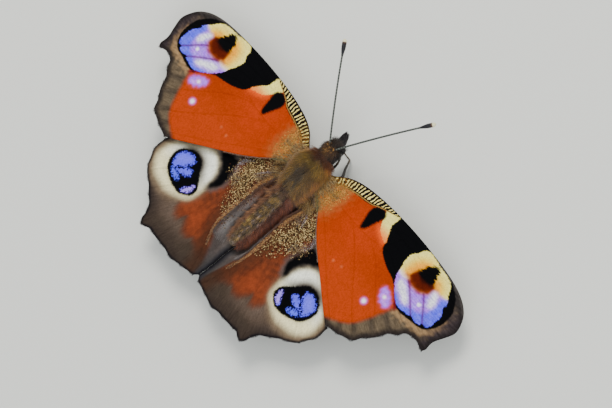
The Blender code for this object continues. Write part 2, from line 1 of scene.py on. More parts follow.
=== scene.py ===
"""The looks of a life-size peacock butterfly that stands with its wings spread flat.

Lengths are in millimetres in the insect's own frame: +X is its right side, +Y is forward, +Z is up, and
z = 0 is the level where the wings leave the thorax. A finished piece is moved into the model's frame, in
metres, by place(). Marks are drawn for the right side and mirrored for the left one.
"""
import math

import bpy
import numpy as np
from mathutils import Matrix, Vector, geometry, kdtree


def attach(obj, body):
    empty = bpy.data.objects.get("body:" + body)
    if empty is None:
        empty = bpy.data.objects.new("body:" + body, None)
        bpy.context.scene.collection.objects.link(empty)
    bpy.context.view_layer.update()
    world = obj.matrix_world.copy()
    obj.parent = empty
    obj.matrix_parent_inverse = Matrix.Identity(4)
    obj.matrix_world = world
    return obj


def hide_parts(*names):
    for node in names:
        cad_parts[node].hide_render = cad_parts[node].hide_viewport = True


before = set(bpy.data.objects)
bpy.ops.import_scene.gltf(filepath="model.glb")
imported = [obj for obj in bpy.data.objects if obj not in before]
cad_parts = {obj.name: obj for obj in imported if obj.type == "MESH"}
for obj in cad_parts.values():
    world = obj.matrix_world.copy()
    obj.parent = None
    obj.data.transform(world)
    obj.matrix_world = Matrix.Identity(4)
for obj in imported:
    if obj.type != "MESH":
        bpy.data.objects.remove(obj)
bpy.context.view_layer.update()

MM = 0.001
SHIFT = Vector((0.0, 2.88, 5.3))
FLOOR = -5.3

# A surface colour is this share of the colour that it shows, plus this share of its cube
DARK_GAIN = 0.545
LIGHT_GAIN = 0.80
LIGHTEST = 0.92

# The camera: how far it leans to the insect's right and forward, its roll, and what it looks at
VIEW_RIGHT = 0.375
VIEW_FORWARD = 0.0402
VIEW_ROLL = math.radians(-49.23)
VIEW_DISTANCE = 600.0
VIEW_ASIDE = (0.9, 4.814)
VIEW_LENS = 247.06
SENSOR = 36.0

# Wing sheets
HALF_SPAN = 32.3
PLAN_STEP = 0.2
EDGE_STEP = 0.16
SHEET_HALF = 0.08
EDGE_HALF = 0.035
EDGE_REACH = 0.9
INNER_FRINGE = 0.36
VEIN_FOOT = 0.12
VEIN_RISE = 0.04
VEIN_VALLEY = 0.05
VEIN_VALLEY_REACH = 0.55
WING_STEP = 1.05

FOREWING_LEVEL = 0.5
ROOT_FALL = 0.4
ROOT_FALL_END = 12.0
LEADING_FALL = 1.0
LEADING_FALL_START = -3.0
LEADING_FALL_REACH = 8.0
TIP_FALL = 1.8
TIP_FALL_START = 22.0

CREST_LIFT = 1.6
CREST_SPREAD = 2.6
CREST_X = 3.45
CREST_END_X = 0.85
CREST_FRONT = (-4.4, -7.8)
CREST_REAR = (-22.0, -14.5)
CREST_TURN = (-23.5, -14.0)
GUTTER_FLOOR = -3.2
GUTTER_MOUTH_X = 1.5
GUTTER_EDGE_X = 0.1
GUTTER_FRONT = (-4.2, -5.7)
GUTTER_REAR = (-17.5, -13.4)
GUTTER_NARROWS = (-4.15, -5.4)
GUTTER_WALL = 0.62
VALLEY_DROP = 0.6
VALLEY_REAR = (-22.8, -19.0)
MEETING_X = 0.07
MEETING = (-17.6, -15.4)
INNER_EDGE_ENDS = (-22.15, -4.8)
INNER_EDGE_STEPS = 90

FOREWING_ROOT_FRONT = (0.9, 0.9)
FOREWING_FALCATE = (31.15, -4.95)
FOREWING_TORNUS = (19.1, -12.9)
FOREWING_ROOT_REAR = (0.9, -0.7)
FOREWING_LEADING = [
    FOREWING_ROOT_FRONT, (2.8, 1.75), (5.0, 3.45), (8.0, 4.45), (12.8, 5.05), (18.8, 5.2),
    (25.2, 4.85), (28.8, 4.1), (30.9, 2.9), (31.95, 1.4), (HALF_SPAN, 0.0), (31.8, -1.6),
    (31.3, -2.9), (31.25, -3.7), (31.35, -4.5), FOREWING_FALCATE]
FOREWING_OUTER = [
    FOREWING_FALCATE, (30.7, -5.0), (30.2, -4.8), (29.1, -4.6), (27.9, -5.1), (27.1, -6.2), (26.1, -7.2),
    (25.35, -8.8), (24.3, -10.0), (23.5, -11.4), (21.8, -12.15), (20.3, -12.6), FOREWING_TORNUS]
FOREWING_TRAILING = [
    FOREWING_TORNUS, (17.3, -11.8), (14.2, -9.75), (11.3, -7.85), (9.1, -6.35), (7.0, -4.65),
    (5.0, -2.75), (3.2, -1.5), FOREWING_ROOT_REAR]
HINDWING_ROOT_FRONT = (0.9, -1.6)
HINDWING_SHOULDER = (19.2, -13.0)
HINDWING_TAIL = (11.9, -23.7)
HINDWING_ANAL = (0.6, -22.75)
HINDWING_MOUTH = (1.5, -4.2)
HINDWING_ROOT_REAR = (0.9, -3.9)
HINDWING_LEADING = [
    HINDWING_ROOT_FRONT, (3.6, -1.7), (7.2, -1.75), (11.6, -3.6), (15.6, -6.9), (18.2, -10.3),
    HINDWING_SHOULDER]
HINDWING_OUTER = [
    HINDWING_SHOULDER, (19.3, -14.9), (18.4, -16.8), (17.4, -18.1), (15.9, -19.0), (14.4, -20.15),
    (13.2, -21.1), (12.6, -22.2), (12.45, -23.0), HINDWING_TAIL]
HINDWING_REAR = [
    HINDWING_TAIL, (11.2, -23.6), (10.3, -23.2), (8.6, -23.35), (6.6, -23.4), (4.8, -23.65),
    (3.3, -23.3), (1.8, -23.0), HINDWING_ANAL]

FOREWING_VEINS = {
    "subcosta": [(2.0, 0.9), (8.0, 3.8), (13.0, 4.5), (17.6, 4.95)],
    "radius": [(2.0, 0.5), (6.0, 2.3), (10.0, 3.1), (14.0, 3.35), (17.0, 3.3), (23.5, 3.2), (27.0, 2.9),
               (30.3, 2.5)],
    "radius_1": [(14.0, 3.35), (17.5, 4.2), (21.0, 4.85)],
    "radius_3": [(23.5, 3.2), (25.6, 4.0), (27.6, 4.15)],
    "radius_5": [(23.5, 3.2), (27.5, 1.7), (31.6, -0.1)],
    "median_1": [(17.0, 3.3), (20.5, 2.7), (25.0, 0.7), (28.3, -2.4), (31.0, -4.6)],
    "median_2": [(16.6, 2.0), (19.6, 1.5), (23.2, -0.4), (26.3, -2.8), (28.7, -4.55)],
    "median_3": [(15.8, 0.5), (18.0, 0.5), (20.8, -1.0), (24.4, -4.1), (26.8, -6.1)],
    "cell_end": [(17.0, 3.3), (16.6, 2.0), (15.8, 0.5)],
    "cubitus": [(2.0, -0.1), (6.5, -0.3), (10.2, -0.35), (13.9, -0.1), (15.8, 0.5)],
    "cubitus_1": [(13.9, -0.1), (17.4, -1.9), (21.6, -5.5), (25.0, -8.5)],
    "cubitus_2": [(10.2, -0.35), (14.0, -3.1), (18.9, -7.6), (23.1, -11.1)],
    "anal": [(2.0, -0.4), (8.0, -3.9), (13.6, -8.2), (19.6, -12.3)],
}
HINDWING_VEINS = {
    "subcosta": [(3.0, -2.3), (6.0, -2.6), (11.0, -4.7), (15.0, -8.0), (18.5, -12.8)],
    "radius": [(3.0, -2.6), (6.4, -4.4), (10.6, -8.0), (15.0, -11.4), (18.9, -14.4)],
    "median_1": [(8.5, -6.2), (11.2, -10.7), (14.2, -14.1), (17.3, -17.7)],
    "median_2": [(9.3, -7.6), (10.9, -12.4), (12.9, -16.3), (14.9, -19.3)],
    "median_3": [(6.3, -8.6), (8.5, -12.0), (10.4, -17.4), (11.8, -23.2)],
    "cubitus": [(3.0, -3.0), (4.6, -5.6), (6.3, -8.6)],
    "cubitus_1": [(5.9, -7.9), (6.9, -12.2), (7.9, -17.6), (8.5, -23.0)],
    "cubitus_2": [(5.2, -6.6), (5.4, -12.0), (5.0, -18.0), (4.8, -23.4)],
    "anal": [(4.0, -6.6), (4.2, -11.0), (3.6, -16.0), (2.2, -20.0), (1.4, -22.6)],
}

# Marks of the forewing
WEDGE = [(11.5, -0.2), (11.0, 1.0), (10.5, 2.4), (10.7, 3.5), (12.0, 4.1), (12.9, 3.3), (12.5, 1.6),
         (12.2, 0.3)]
CREAM_PATCH = [(12.2, 4.1), (13.1, 4.8), (14.3, 5.0), (14.4, 3.4), (15.2, 2.2), (15.9, 1.0), (15.1, 1.2),
               (13.9, 1.7), (13.1, 2.6), (12.6, 3.5)]
BLACK_PATCH = [(13.9, 5.6), (18.0, 5.8), (22.5, 5.6), (23.0, 3.5), (22.5, 0.5), (21.9, -1.9), (20.7, -1.5),
               (19.4, -1.2), (18.1, -0.8), (17.0, -0.3), (16.3, 0.2), (15.8, 1.0), (15.4, 1.7), (14.8, 2.7),
               (14.2, 3.6)]
EYESPOT = [(21.2, 5.0), (22.4, 4.95), (23.7, 4.6), (25.2, 4.5), (26.7, 4.1), (27.7, 2.8), (28.4, 2.0),
           (29.0, 0.9), (29.4, -0.5), (29.2, -2.3), (28.3, -2.8), (27.4, -3.05), (25.8, -3.2), (24.4, -3.4),
           (23.6, -3.2), (22.5, -2.5), (21.4, -1.5), (20.7, -0.6), (20.3, 0.6), (19.8, 1.8), (19.75, 2.8),
           (20.3, 3.7), (20.5, 4.5)]
CRESCENT = [(26.3, 4.2), (27.5, 4.0), (28.5, 3.5), (29.4, 2.6), (30.1, 1.5), (30.3, 0.2), (30.2, -0.9),
            (29.9, -1.8), (29.2, -2.75), (28.3, -3.25), (27.2, -3.4), (25.8, -3.7), (24.5, -3.8),
            (23.5, -3.4), (25.0, 0.0)]
PUPIL = [(22.7, 2.0), (22.35, 2.75), (22.7, 3.5), (23.2, 4.15), (23.9, 4.5), (24.5, 4.15), (24.8, 3.4),
         (25.1, 2.6), (24.85, 2.05), (23.8, 1.8)]
EMBER = [(21.9, 0.6), (21.9, 1.4), (22.4, 2.2), (23.6, 2.6), (24.9, 2.6), (25.8, 2.2), (26.1, 1.5),
         (25.7, 0.8), (24.8, 0.1), (23.9, -0.1), (22.8, 0.0)]
YOLK = [(21.5, 0.3), (21.1, 1.5), (21.5, 2.9), (22.7, 3.7), (23.6, 2.8), (25.3, 3.0), (26.5, 2.3),
        (26.6, 1.2), (25.5, 0.7), (23.0, 0.4)]
LILAC_HALF = [(20.4, -0.2), (21.4, -0.3), (22.4, 0.0), (23.5, -0.1), (24.7, 0.1), (25.7, 0.7),
              (26.4, 1.4), (27.1, 1.9), (28.4, 2.2), (30.0, 0.0), (29.6, -3.0), (26.0, -4.0),
              (23.0, -4.0), (20.5, -2.0)]
BLUE_RIM = [(22.6, -2.3), (24.0, -2.7), (25.4, -2.3), (26.8, -1.9), (27.6, -1.0), (27.7, 0.4), (27.6, 1.8),
            (28.6, 2.2), (30.0, 0.0), (29.6, -3.0), (26.0, -4.2), (23.0, -4.0)]
LILAC_SPOT = [(20.9, -3.1), (21.7, -3.1), (22.8, -3.7), (23.4, -4.6), (22.8, -5.0), (21.9, -4.8),
              (21.1, -4.0)]
WHITE_STREAK = [(21.7, -0.8), (22.3, -0.7), (23.3, -1.2), (24.6, -2.1), (24.3, -2.4), (23.1, -1.9),
                (22.1, -1.4)]
WHITE_PATCH = [(26.3, 1.6), (26.9, 1.5), (27.5, 0.3), (27.2, -0.2), (26.7, 0.3)]
WHITE_DOTS = [((21.95, -4.0), 0.34), ((20.3, -6.55), 0.42), ((26.1, -1.05), 0.36)]
SMALL_DOTS = [((12.7, -6.1), 0.18), ((14.2, -5.8), 0.16)]
MARGIN_INNER = [(16.0, -13.2), (18.2, -12.2), (19.6, -11.5), (21.2, -10.4), (22.2, -9.0), (22.9, -7.4),
                (23.5, -5.9), (24.0, -4.6), (24.7, -3.6), (27.4, -2.8), (29.1, -1.9), (29.5, -0.3),
                (29.2, 1.7), (27.8, 3.0), (26.0, 3.8)]
MARGIN_OUTSIDE = [(29.0, 7.0), (35.0, 3.0), (34.0, -7.0), (22.0, -16.0), (16.0, -15.5)]
GOLD_BAND = [(24.6, -4.2), (27.0, -3.8), (29.3, -3.3), (30.2, -1.7), (30.3, 0.2)]
CHECKER_INNER = [(2.6, 0.2), (3.8, 0.9), (5.0, 1.75), (6.2, 2.15), (7.5, 2.5), (9.0, 2.8), (10.1, 3.1),
                 (10.9, 3.6), (12.1, 4.15), (13.2, 4.55), (14.2, 4.95)]
CHECKER_OUTSIDE = [(16.0, 8.0), (0.0, 8.0), (0.0, 0.2)]
CHECKER_START = 2.2
CHECKER_END = 14.3
CHECKER_PERIOD = 0.58
CHECKER_SLANT = 0.35
FOREWING_FUZZ = [(1.5, 1.0), (3.6, 1.0), (5.6, 2.1), (6.5, 1.8), (6.1, 0.6), (5.7, -0.9), (5.5, -2.2),
                 (5.3, -3.3), (4.3, -2.6), (3.2, -1.9), (1.5, -1.2)]
FOREWING_ROOT_HAIR = [(1.6, 1.2), (3.2, 1.5), (4.0, 0.9), (3.9, -0.9), (2.9, -1.5), (1.6, -1.2)]

# Marks of the hindwing
EYE_BLACK = [(10.9, -16.5), (10.0, -15.8), (9.7, -14.9), (10.1, -14.0), (10.8, -13.2), (11.5, -12.5),
             (12.3, -11.5), (13.1, -11.0), (14.4, -10.9), (15.6, -11.5), (16.5, -12.4), (16.7, -13.4),
             (16.4, -14.6), (15.7, -15.6), (14.6, -16.2), (13.0, -16.7), (11.8, -16.8)]
BLUE_BIG = [(13.3, -12.4), (13.4, -11.8), (14.3, -11.6), (15.3, -12.0), (16.0, -12.7), (16.0, -13.5),
            (15.7, -14.3), (15.3, -14.7), (14.5, -13.9), (13.8, -13.4)]
BLUE_MIDDLE = [(12.2, -14.0), (12.6, -13.1), (13.4, -13.4), (14.4, -14.3), (14.7, -14.9), (13.9, -14.7),
               (13.1, -14.5)]
BLUE_LOW = [(13.0, -15.7), (13.3, -15.2), (14.2, -14.9), (15.1, -14.7), (15.3, -14.9), (14.6, -15.5),
            (13.7, -15.8)]
BLUE_CORNER = [(10.6, -15.9), (10.3, -15.2), (10.4, -14.4), (10.75, -14.3), (11.1, -15.0), (11.6, -15.7),
               (11.8, -16.25), (11.3, -16.3)]
RING = [(10.7, -16.9), (9.9, -16.0), (9.4, -14.8), (9.3, -13.2), (9.3, -11.9), (9.7, -10.6), (10.4, -9.6),
        (11.3, -8.9), (12.3, -8.8), (13.4, -9.2), (15.0, -10.4), (16.8, -11.6), (18.0, -12.5),
        (18.7, -13.8), (18.7, -15.2), (18.1, -16.6), (17.0, -17.5), (15.6, -18.1), (14.3, -18.3),
        (13.0, -18.2), (11.7, -17.7)]
RING_CORE = [(10.2, -16.2), (9.7, -14.8), (9.7, -13.0), (9.9, -11.4), (10.7, -10.0), (11.9, -9.3),
             (13.1, -9.6), (14.8, -10.8), (16.8, -12.2), (17.7, -13.4), (17.9, -15.0), (17.2, -16.3),
             (15.8, -17.2), (14.0, -17.5), (12.2, -17.2)]
FRONT_PATCH = [(8.6, -13.0), (7.8, -11.6), (7.7, -10.2), (8.1, -8.8), (8.5, -7.6), (9.2, -6.9),
               (10.4, -7.0), (11.8, -7.9), (11.6, -8.6), (10.4, -9.4), (9.6, -10.5), (9.3, -11.8),
               (9.2, -13.0)]
RUST = [(0.0, -2.0), (0.0, -18.2), (1.2, -19.5), (2.8, -19.8), (4.4, -19.5), (6.3, -19.3), (7.4, -18.6),
        (8.9, -18.4), (10.2, -17.2), (9.5, -15.8), (9.1, -14.0), (8.9, -12.6), (8.0, -11.0), (8.4, -8.0),
        (8.0, -5.0), (6.0, -1.5)]
HINDWING_FUZZ = [(1.8, -4.0), (2.9, -5.5), (3.2, -8.0), (3.4, -11.0), (3.2, -14.0), (4.2, -13.6),
                 (5.1, -11.8), (6.6, -10.3), (7.9, -8.9), (8.6, -7.4), (8.6, -5.6), (7.6, -3.2),
                 (4.0, -2.2), (1.6, -2.2)]
HINDWING_ROOT_HAIR = [(1.6, -1.9), (4.0, -1.8), (4.4, -3.4), (3.6, -5.3), (2.7, -6.2), (1.75, -5.4),
                      (1.6, -3.8)]

# The body under its hair: (y, half width, half height, z of the middle) from the tail to the brow
SKIN = [
    (-15.75, 0.10, 0.10, -0.22), (-15.5, 0.42, 0.40, -0.26), (-14.8, 0.88, 0.82, -0.42),
    (-13.4, 1.36, 1.28, -0.75), (-11.0, 1.60, 1.52, -0.95), (-8.5, 1.60, 1.50, -0.82),
    (-6.2, 1.50, 1.40, -0.45), (-4.9, 1.34, 1.25, -0.15), (-4.2, 1.42, 1.35, 0.0), (-3.5, 1.65, 1.58, 0.10),
    (-2.3, 2.0, 1.9, 0.28), (-0.7, 2.25, 2.15, 0.42), (0.7, 2.1, 2.0, 0.45), (1.7, 1.62, 1.6, 0.45),
    (2.4, 1.15, 1.2, 0.45), (2.9, 0.82, 0.9, 0.45), (3.3, 0.92, 1.0, 0.46), (4.0, 1.02, 1.1, 0.48),
    (4.5, 0.85, 0.95, 0.42), (4.8, 0.5, 0.6, 0.36), (4.95, 0.12, 0.15, 0.33)]
SKIN_SIDES = 48
SKIN_STEP = 0.16
ABDOMEN_FIRST_GROOVE = -6.0
ABDOMEN_SEGMENT = 1.45
ABDOMEN_GROOVES = 6
GROOVE_DEPTH = 0.09
GROOVE_WIDTH = 0.13

EYE_CENTRE = (1.02, 4.02, 0.45)
EYE_HALF = (0.62, 0.78, 0.90)
EYE_INNER_X = 0.5
EYE_ROWS = 40
EYE_COLUMNS = 64
MARK_STEP = 0.25
LINE_STEP = 0.3
VEIN_STEP = 0.4
VEIN_SHADE = 0.10
PALE_DOT_SIZE = 0.3
TINT_SEED = 31
FRINGE_STEP = 0.045
FRINGE_WIDTH = 0.07
FRINGE_APART = 0.03
FRINGE_INSET = 0.2
ANTENNA_ROOT = (0.36, 4.04, 1.32)
ANTENNA_TIPS = {"right": (9.35, 17.6, 5.0), "left": (-9.7, 16.0, 5.0)}
ANTENNA_RISE = 0.45
ANTENNA_RADIUS = 0.135
ANTENNA_SEGMENT = 0.42
CLUB_RADIUS = 0.33
CLUB_LENGTH = 2.1
PALP_PATH = [(0.38, 4.3, -0.15), (0.38, 5.1, 0.0), (0.36, 5.8, 0.45), (0.29, 6.5, 0.95), (0.22, 6.95, 1.24)]
PALP_RADII = [0.24, 0.30, 0.30, 0.22, 0.08]
TONGUE_STEM = [(0.0, 4.2, 0.1), (0.0, 3.6, -0.7)]
TONGUE_CENTRE = (0.0, 4.55, -2.15)
TONGUE_START = math.radians(158.0)
TONGUE_OUTER = 1.15
TONGUE_PITCH = 0.62
TONGUE_TURNS = 1.6
TONGUE_RADIUS = 0.17
LEG_RADII = [0.30, 0.28, 0.25, 0.20, 0.15, 0.11, 0.10, 0.08]
FOOT_HEIGHT = FLOOR + 0.11
LEG_PATHS = {
    "midleg_right": [
        (1.0, 0.6, -0.9), (1.75, 1.1, -2.1), (3.25, 2.35, -1.45), (2.1, 3.6, -2.85),
        (0.95, 4.75, -4.35), (0.45, 4.85, FOOT_HEIGHT), (-0.35, 4.9, FOOT_HEIGHT), (-1.1, 5.0, FOOT_HEIGHT)],
    "midleg_left": [
        (-1.0, 0.6, -0.9), (-1.7, 0.9, -2.2), (-2.9, 1.3, -1.6), (-2.75, 2.2, -3.1),
        (-2.6, 3.0, -4.5), (-2.6, 3.6, FOOT_HEIGHT), (-2.75, 4.5, FOOT_HEIGHT), (-2.9, 5.4, FOOT_HEIGHT)],
    "hindleg_right": [
        (0.9, -1.6, -0.9), (1.6, -1.9, -2.3), (3.7, -3.3, -2.0), (4.5, -5.0, -3.4),
        (5.2, -6.6, -4.7), (5.4, -7.3, FOOT_HEIGHT), (5.8, -8.6, FOOT_HEIGHT), (6.2, -9.9, FOOT_HEIGHT)],
    "hindleg_left": [
        (-0.9, -1.6, -0.9), (-1.6, -1.9, -2.3), (-3.6, -3.4, -2.0), (-4.2, -5.2, -3.4),
        (-4.7, -6.9, -4.7), (-4.8, -7.6, FOOT_HEIGHT), (-5.0, -8.9, FOOT_HEIGHT), (-5.2, -10.2, FOOT_HEIGHT)],
}
FORELEG_PATH = [(0.8, 1.4, -0.8), (1.05, 1.9, -1.9), (1.05, 3.1, -2.0), (0.95, 4.1, -1.45)]
FORELEG_RADII = [0.18, 0.2, 0.2, 0.1]


def rgb(red, green, blue):
    """The surface colour that shows as this one, given from 0 to 255, under the scene's light."""
    values = np.array([red, green, blue]) / 255.0
    values = np.where(values <= 0.04045, values / 12.92, ((values + 0.055) / 1.055) ** 2.4)
    return np.minimum(DARK_GAIN * values + LIGHT_GAIN * values ** 3, LIGHTEST)


BLACK = rgb(9, 9, 12)
NAVY = rgb(22, 16, 92)
ORANGE = rgb(179, 67, 16)
ORANGE_BRIGHT = rgb(199, 76, 18)
ORANGE_LOW = rgb(194, 78, 20)
CREAM = rgb(255, 228, 154)
RUST_RED = rgb(150, 76, 44)
RUST_DEEP = rgb(104, 50, 28)
MARGIN_BROWN = rgb(106, 88, 74)
LILAC = rgb(194, 132, 248)
BLUE = rgb(106, 116, 246)
WHITE = rgb(242, 238, 255)
FRINGE_DARK = rgb(52, 45, 44)
SCALLOP = 2.3
FRINGE_PALE = rgb(164, 120, 92)
PALE_GREY = rgb(222, 216, 220)
GOLD_DUST = [rgb(70, 56, 34), rgb(128, 106, 52), rgb(164, 142, 72), rgb(186, 168, 90), rgb(196, 190, 140)]
BROWN_DUST = [rgb(36, 24, 16), rgb(92, 58, 34), rgb(146, 108, 60), rgb(206, 176, 110), rgb(234, 224, 192)]
WHITE_RIM = rgb(216, 200, 255)
ROOT_HAIR = [rgb(84, 66, 44), rgb(164, 132, 72), rgb(204, 168, 92), rgb(214, 196, 148)]


def smoothstep(low, high, value):
    t = np.clip((value - low) / (high - low), 0.0, 1.0)
    return t * t * (3.0 - 2.0 * t)


def mix(a, b, t):
    return a + (b - a) * t


def blend(colours, colour, share):
    """Moves each row of colours towards one colour by its share."""
    share = np.asarray(share)[:, None]
    return colours * (1.0 - share) + np.asarray(colour) * share


def layered(colours, *layers):
    """Blends one colour after another over the colours, each by its share."""
    for colour, share in layers:
        colours = blend(colours, colour, share)
    return colours


def spline(points, step, closed=False):
    """A smooth curve through the points, with a point about every step."""
    pts = np.array(points, float)
    if closed:
        pts = np.vstack([pts[-1:], pts, pts[:2]])
    else:
        pts = np.vstack([2.0 * pts[0] - pts[1], pts, 2.0 * pts[-1] - pts[-2]])
    out = []
    for a, b, c, d in zip(pts, pts[1:], pts[2:], pts[3:]):
        count = max(1, round(float(np.linalg.norm(c - b)) / step))
        t = (np.arange(count) / count)[:, None]
        out.append(0.5 * (2.0 * b + (c - a) * t + (2.0 * a - 5.0 * b + 4.0 * c - d) * t ** 2
                          + (3.0 * b - a - 3.0 * c + d) * t ** 3))
    if not closed:
        out.append(pts[-2:-1])
    return np.vstack(out)


def distance_to(at, line):
    """Distance from each point to a run of straight pieces, and the run's length to the nearest place."""
    best = np.full(len(at), 1e9)
    place = np.zeros(len(at))
    run = 0.0
    for a, b in zip(line, line[1:]):
        ab = b - a
        length = float(np.linalg.norm(ab))
        t = np.clip(((at - a) @ ab) / max(length ** 2, 1e-12), 0.0, 1.0)
        away = np.linalg.norm(at - a - t[:, None] * ab, axis=1)
        nearer = away < best
        best = np.where(nearer, away, best)
        place = np.where(nearer, run + t * length, place)
        run += length
    return best, place


def inside(at, polygon):
    hit = np.zeros(len(at), bool)
    for a, b in zip(polygon, np.roll(polygon, -1, axis=0)):
        crosses = (a[1] > at[:, 1]) != (b[1] > at[:, 1])
        if a[1] != b[1]:
            hit ^= crosses & (at[:, 0] < a[0] + (at[:, 1] - a[1]) / (b[1] - a[1]) * (b[0] - a[0]))
    return hit


def depth_in(at, points):
    """How deep each point lies inside a smooth closed shape; it is negative outside."""
    shape = spline(points, MARK_STEP, closed=True)
    away, _ = distance_to(at, np.vstack([shape, shape[:1]]))
    return np.where(inside(at, shape), away, -away)


def depth_past(at, points, outside):
    """How far each point lies past an open curve, towards the corners outside, and its place along it."""
    line = spline(points, LINE_STEP)
    away, along = distance_to(at, line)
    return np.where(inside(at, np.vstack([line, outside])), away, -away), along


def run_along(line):
    """The length from a line's start to each of its points."""
    return np.concatenate([[0.0], np.cumsum(np.linalg.norm(np.diff(line, axis=0), axis=1))])


def soft(depth, width):
    return smoothstep(-width, width, depth)


def ripple(at, scale, seed):
    """A smooth wavy value from -1 to 1 over the plan, from a few crossing waves."""
    rng = np.random.default_rng(seed)
    total = np.zeros(len(at))
    for _ in range(7):
        angle, phase = rng.uniform(0.0, 2.0 * math.pi, 2)
        speed = scale * rng.uniform(0.6, 1.7)
        total += np.sin((at[:, 0] * math.cos(angle) + at[:, 1] * math.sin(angle)) * speed + phase)
    return total / 4.0


def forewing_height(x, y):
    z = FOREWING_LEVEL - ROOT_FALL * np.maximum(0.0, 1.0 - x / ROOT_FALL_END) ** 2
    z = z - LEADING_FALL * np.maximum(0.0, (y - LEADING_FALL_START) / LEADING_FALL_REACH) ** 2
    return z - TIP_FALL * np.maximum(0.0, (x - TIP_FALL_START) / (HALF_SPAN - TIP_FALL_START)) ** 2


def crest_x(y):
    return mix(CREST_END_X, CREST_X, smoothstep(*CREST_TURN, y))


def inner_edge_x(y):
    beside = mix(GUTTER_MOUTH_X, GUTTER_EDGE_X, smoothstep(*GUTTER_NARROWS, y))
    return mix(MEETING_X, beside, smoothstep(*MEETING, y))


def hindwing_height(x, y):
    base = forewing_height(x, y) - WING_STEP
    lift = CREST_LIFT * smoothstep(*CREST_FRONT, y) * smoothstep(*CREST_REAR, y)
    crest = crest_x(y)
    outside = base + lift * np.exp(-((x - crest) / CREST_SPREAD) ** 2)
    valley = base - VALLEY_DROP * smoothstep(*VALLEY_REAR, y)
    low = mix(valley, GUTTER_FLOOR, smoothstep(*GUTTER_REAR, y))
    low = mix(base, low, smoothstep(*GUTTER_FRONT, y))
    inward = (crest - x) / (crest - inner_edge_x(y))
    within = base + lift - (base + lift - low) * smoothstep(0.0, GUTTER_WALL, inward)
    return np.where(x >= crest, outside, within)


def normals_of(height, x, y):
    reach = 0.02
    slope_x = (height(x + reach, y) - height(x - reach, y)) / (2.0 * reach)
    slope_y = (height(x, y + reach) - height(x, y - reach)) / (2.0 * reach)
    normal = np.stack([-slope_x, -slope_y, np.ones_like(slope_x)], axis=1)
    return normal / np.linalg.norm(normal, axis=1)[:, None]


def forewing_outline():
    return np.vstack([spline(FOREWING_LEADING, EDGE_STEP)[:-1], spline(FOREWING_OUTER, EDGE_STEP)[:-1],
                      spline(FOREWING_TRAILING, EDGE_STEP)])


def hindwing_outline():
    y = np.linspace(*INNER_EDGE_ENDS, INNER_EDGE_STEPS)
    inner = np.stack([inner_edge_x(y), y], axis=1)
    return np.vstack([spline(HINDWING_LEADING, EDGE_STEP)[:-1], spline(HINDWING_OUTER, EDGE_STEP)[:-1],
                      spline(HINDWING_REAR, EDGE_STEP), inner, [HINDWING_MOUTH], [HINDWING_ROOT_REAR]])


def sideways(line):
    """Unit vectors to the left of a line at each of its points."""
    along = np.gradient(line, axis=0)
    along /= np.linalg.norm(along, axis=1)[:, None]
    return np.stack([-along[:, 1], along[:, 0]], axis=1)


def plan_of(outline, veins):
    """Points and triangles that fill a wing's outline, with rows of points along its veins."""
    rows = []
    for vein in veins:
        line = spline(vein, PLAN_STEP)
        rows += [line + offset * sideways(line) for offset in (-VEIN_FOOT, 0.0, VEIN_FOOT)]
    rows = np.vstack(rows)
    away, _ = distance_to(rows, np.vstack([outline, outline[:1]]))
    rows = rows[inside(rows, outline) & (away > 0.5 * PLAN_STEP)]
    low, high = outline.min(0), outline.max(0)
    columns = np.arange(low[0], high[0], PLAN_STEP)
    lines = np.arange(low[1], high[1], PLAN_STEP * math.sqrt(0.75))
    grid = np.array([(x + 0.5 * PLAN_STEP * (k % 2), y) for k, y in enumerate(lines) for x in columns])
    grid = grid[inside(grid, outline)]
    fixed = np.vstack([outline, rows])
    tree = kdtree.KDTree(len(fixed))
    for k, p in enumerate(fixed):
        tree.insert((p[0], p[1], 0.0), k)
    tree.balance()
    grid = np.array([p for p in grid if tree.find((p[0], p[1], 0.0))[2] > 0.6 * PLAN_STEP])
    points = [Vector(p) for p in np.vstack([outline, rows, grid])]
    edges = [(k, (k + 1) % len(outline)) for k in range(len(outline))]
    merge, inside_only = 0.03, 1
    verts, _, faces, *_ = geometry.delaunay_2d_cdt(points, edges, [], inside_only, merge)
    verts = np.array([tuple(v) for v in verts])
    faces = np.array([f for f in faces if len(f) == 3])
    return verts, faces[inside(verts[faces].mean(1), outline)]


def place(name, verts, faces, materials):
    """A mesh object from points in millimetres, which rides on the insect's one body."""
    mesh = bpy.data.meshes.new(name)
    verts = (np.asarray(verts, float) + np.array(SHIFT)) * MM
    mesh.from_pydata(verts.tolist(), [], [tuple(int(i) for i in f) for f in faces])
    mesh.update()
    mesh.polygons.foreach_set("use_smooth", np.ones(len(faces), bool))
    for material in materials:
        mesh.materials.append(material)
    thing = bpy.data.objects.new(name, mesh)
    bpy.context.collection.objects.link(thing)
    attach(thing, "root")
    return thing


def write_values(thing, name, values):
    """Keeps one number, a vector or a colour for each point of a mesh."""
    values = np.asarray(values, np.float32)
    if values.ndim == 1:
        layer = thing.data.attributes.new(name, "FLOAT", "POINT")
        layer.data.foreach_set("value", values)
    elif name.endswith("plan"):
        layer = thing.data.attributes.new(name, "FLOAT_VECTOR", "POINT")
        layer.data.foreach_set("vector", values.ravel())
    else:
        layer = thing.data.attributes.new(name, "FLOAT_COLOR", "POINT")
        layer.data.foreach_set("color", np.hstack([values, np.ones((len(values), 1), np.float32)]).ravel())


def write_uv(thing, uv_of_loop):
    layer = thing.data.uv_layers.new(name="OFBake")
    layer.data.foreach_set("uv", np.asarray(uv_of_loop, np.float32).ravel())


def loop_vertices(thing):
    index = np.empty(len(thing.data.loops), np.int32)
    thing.data.loops.foreach_get("vertex_index", index)
    return index


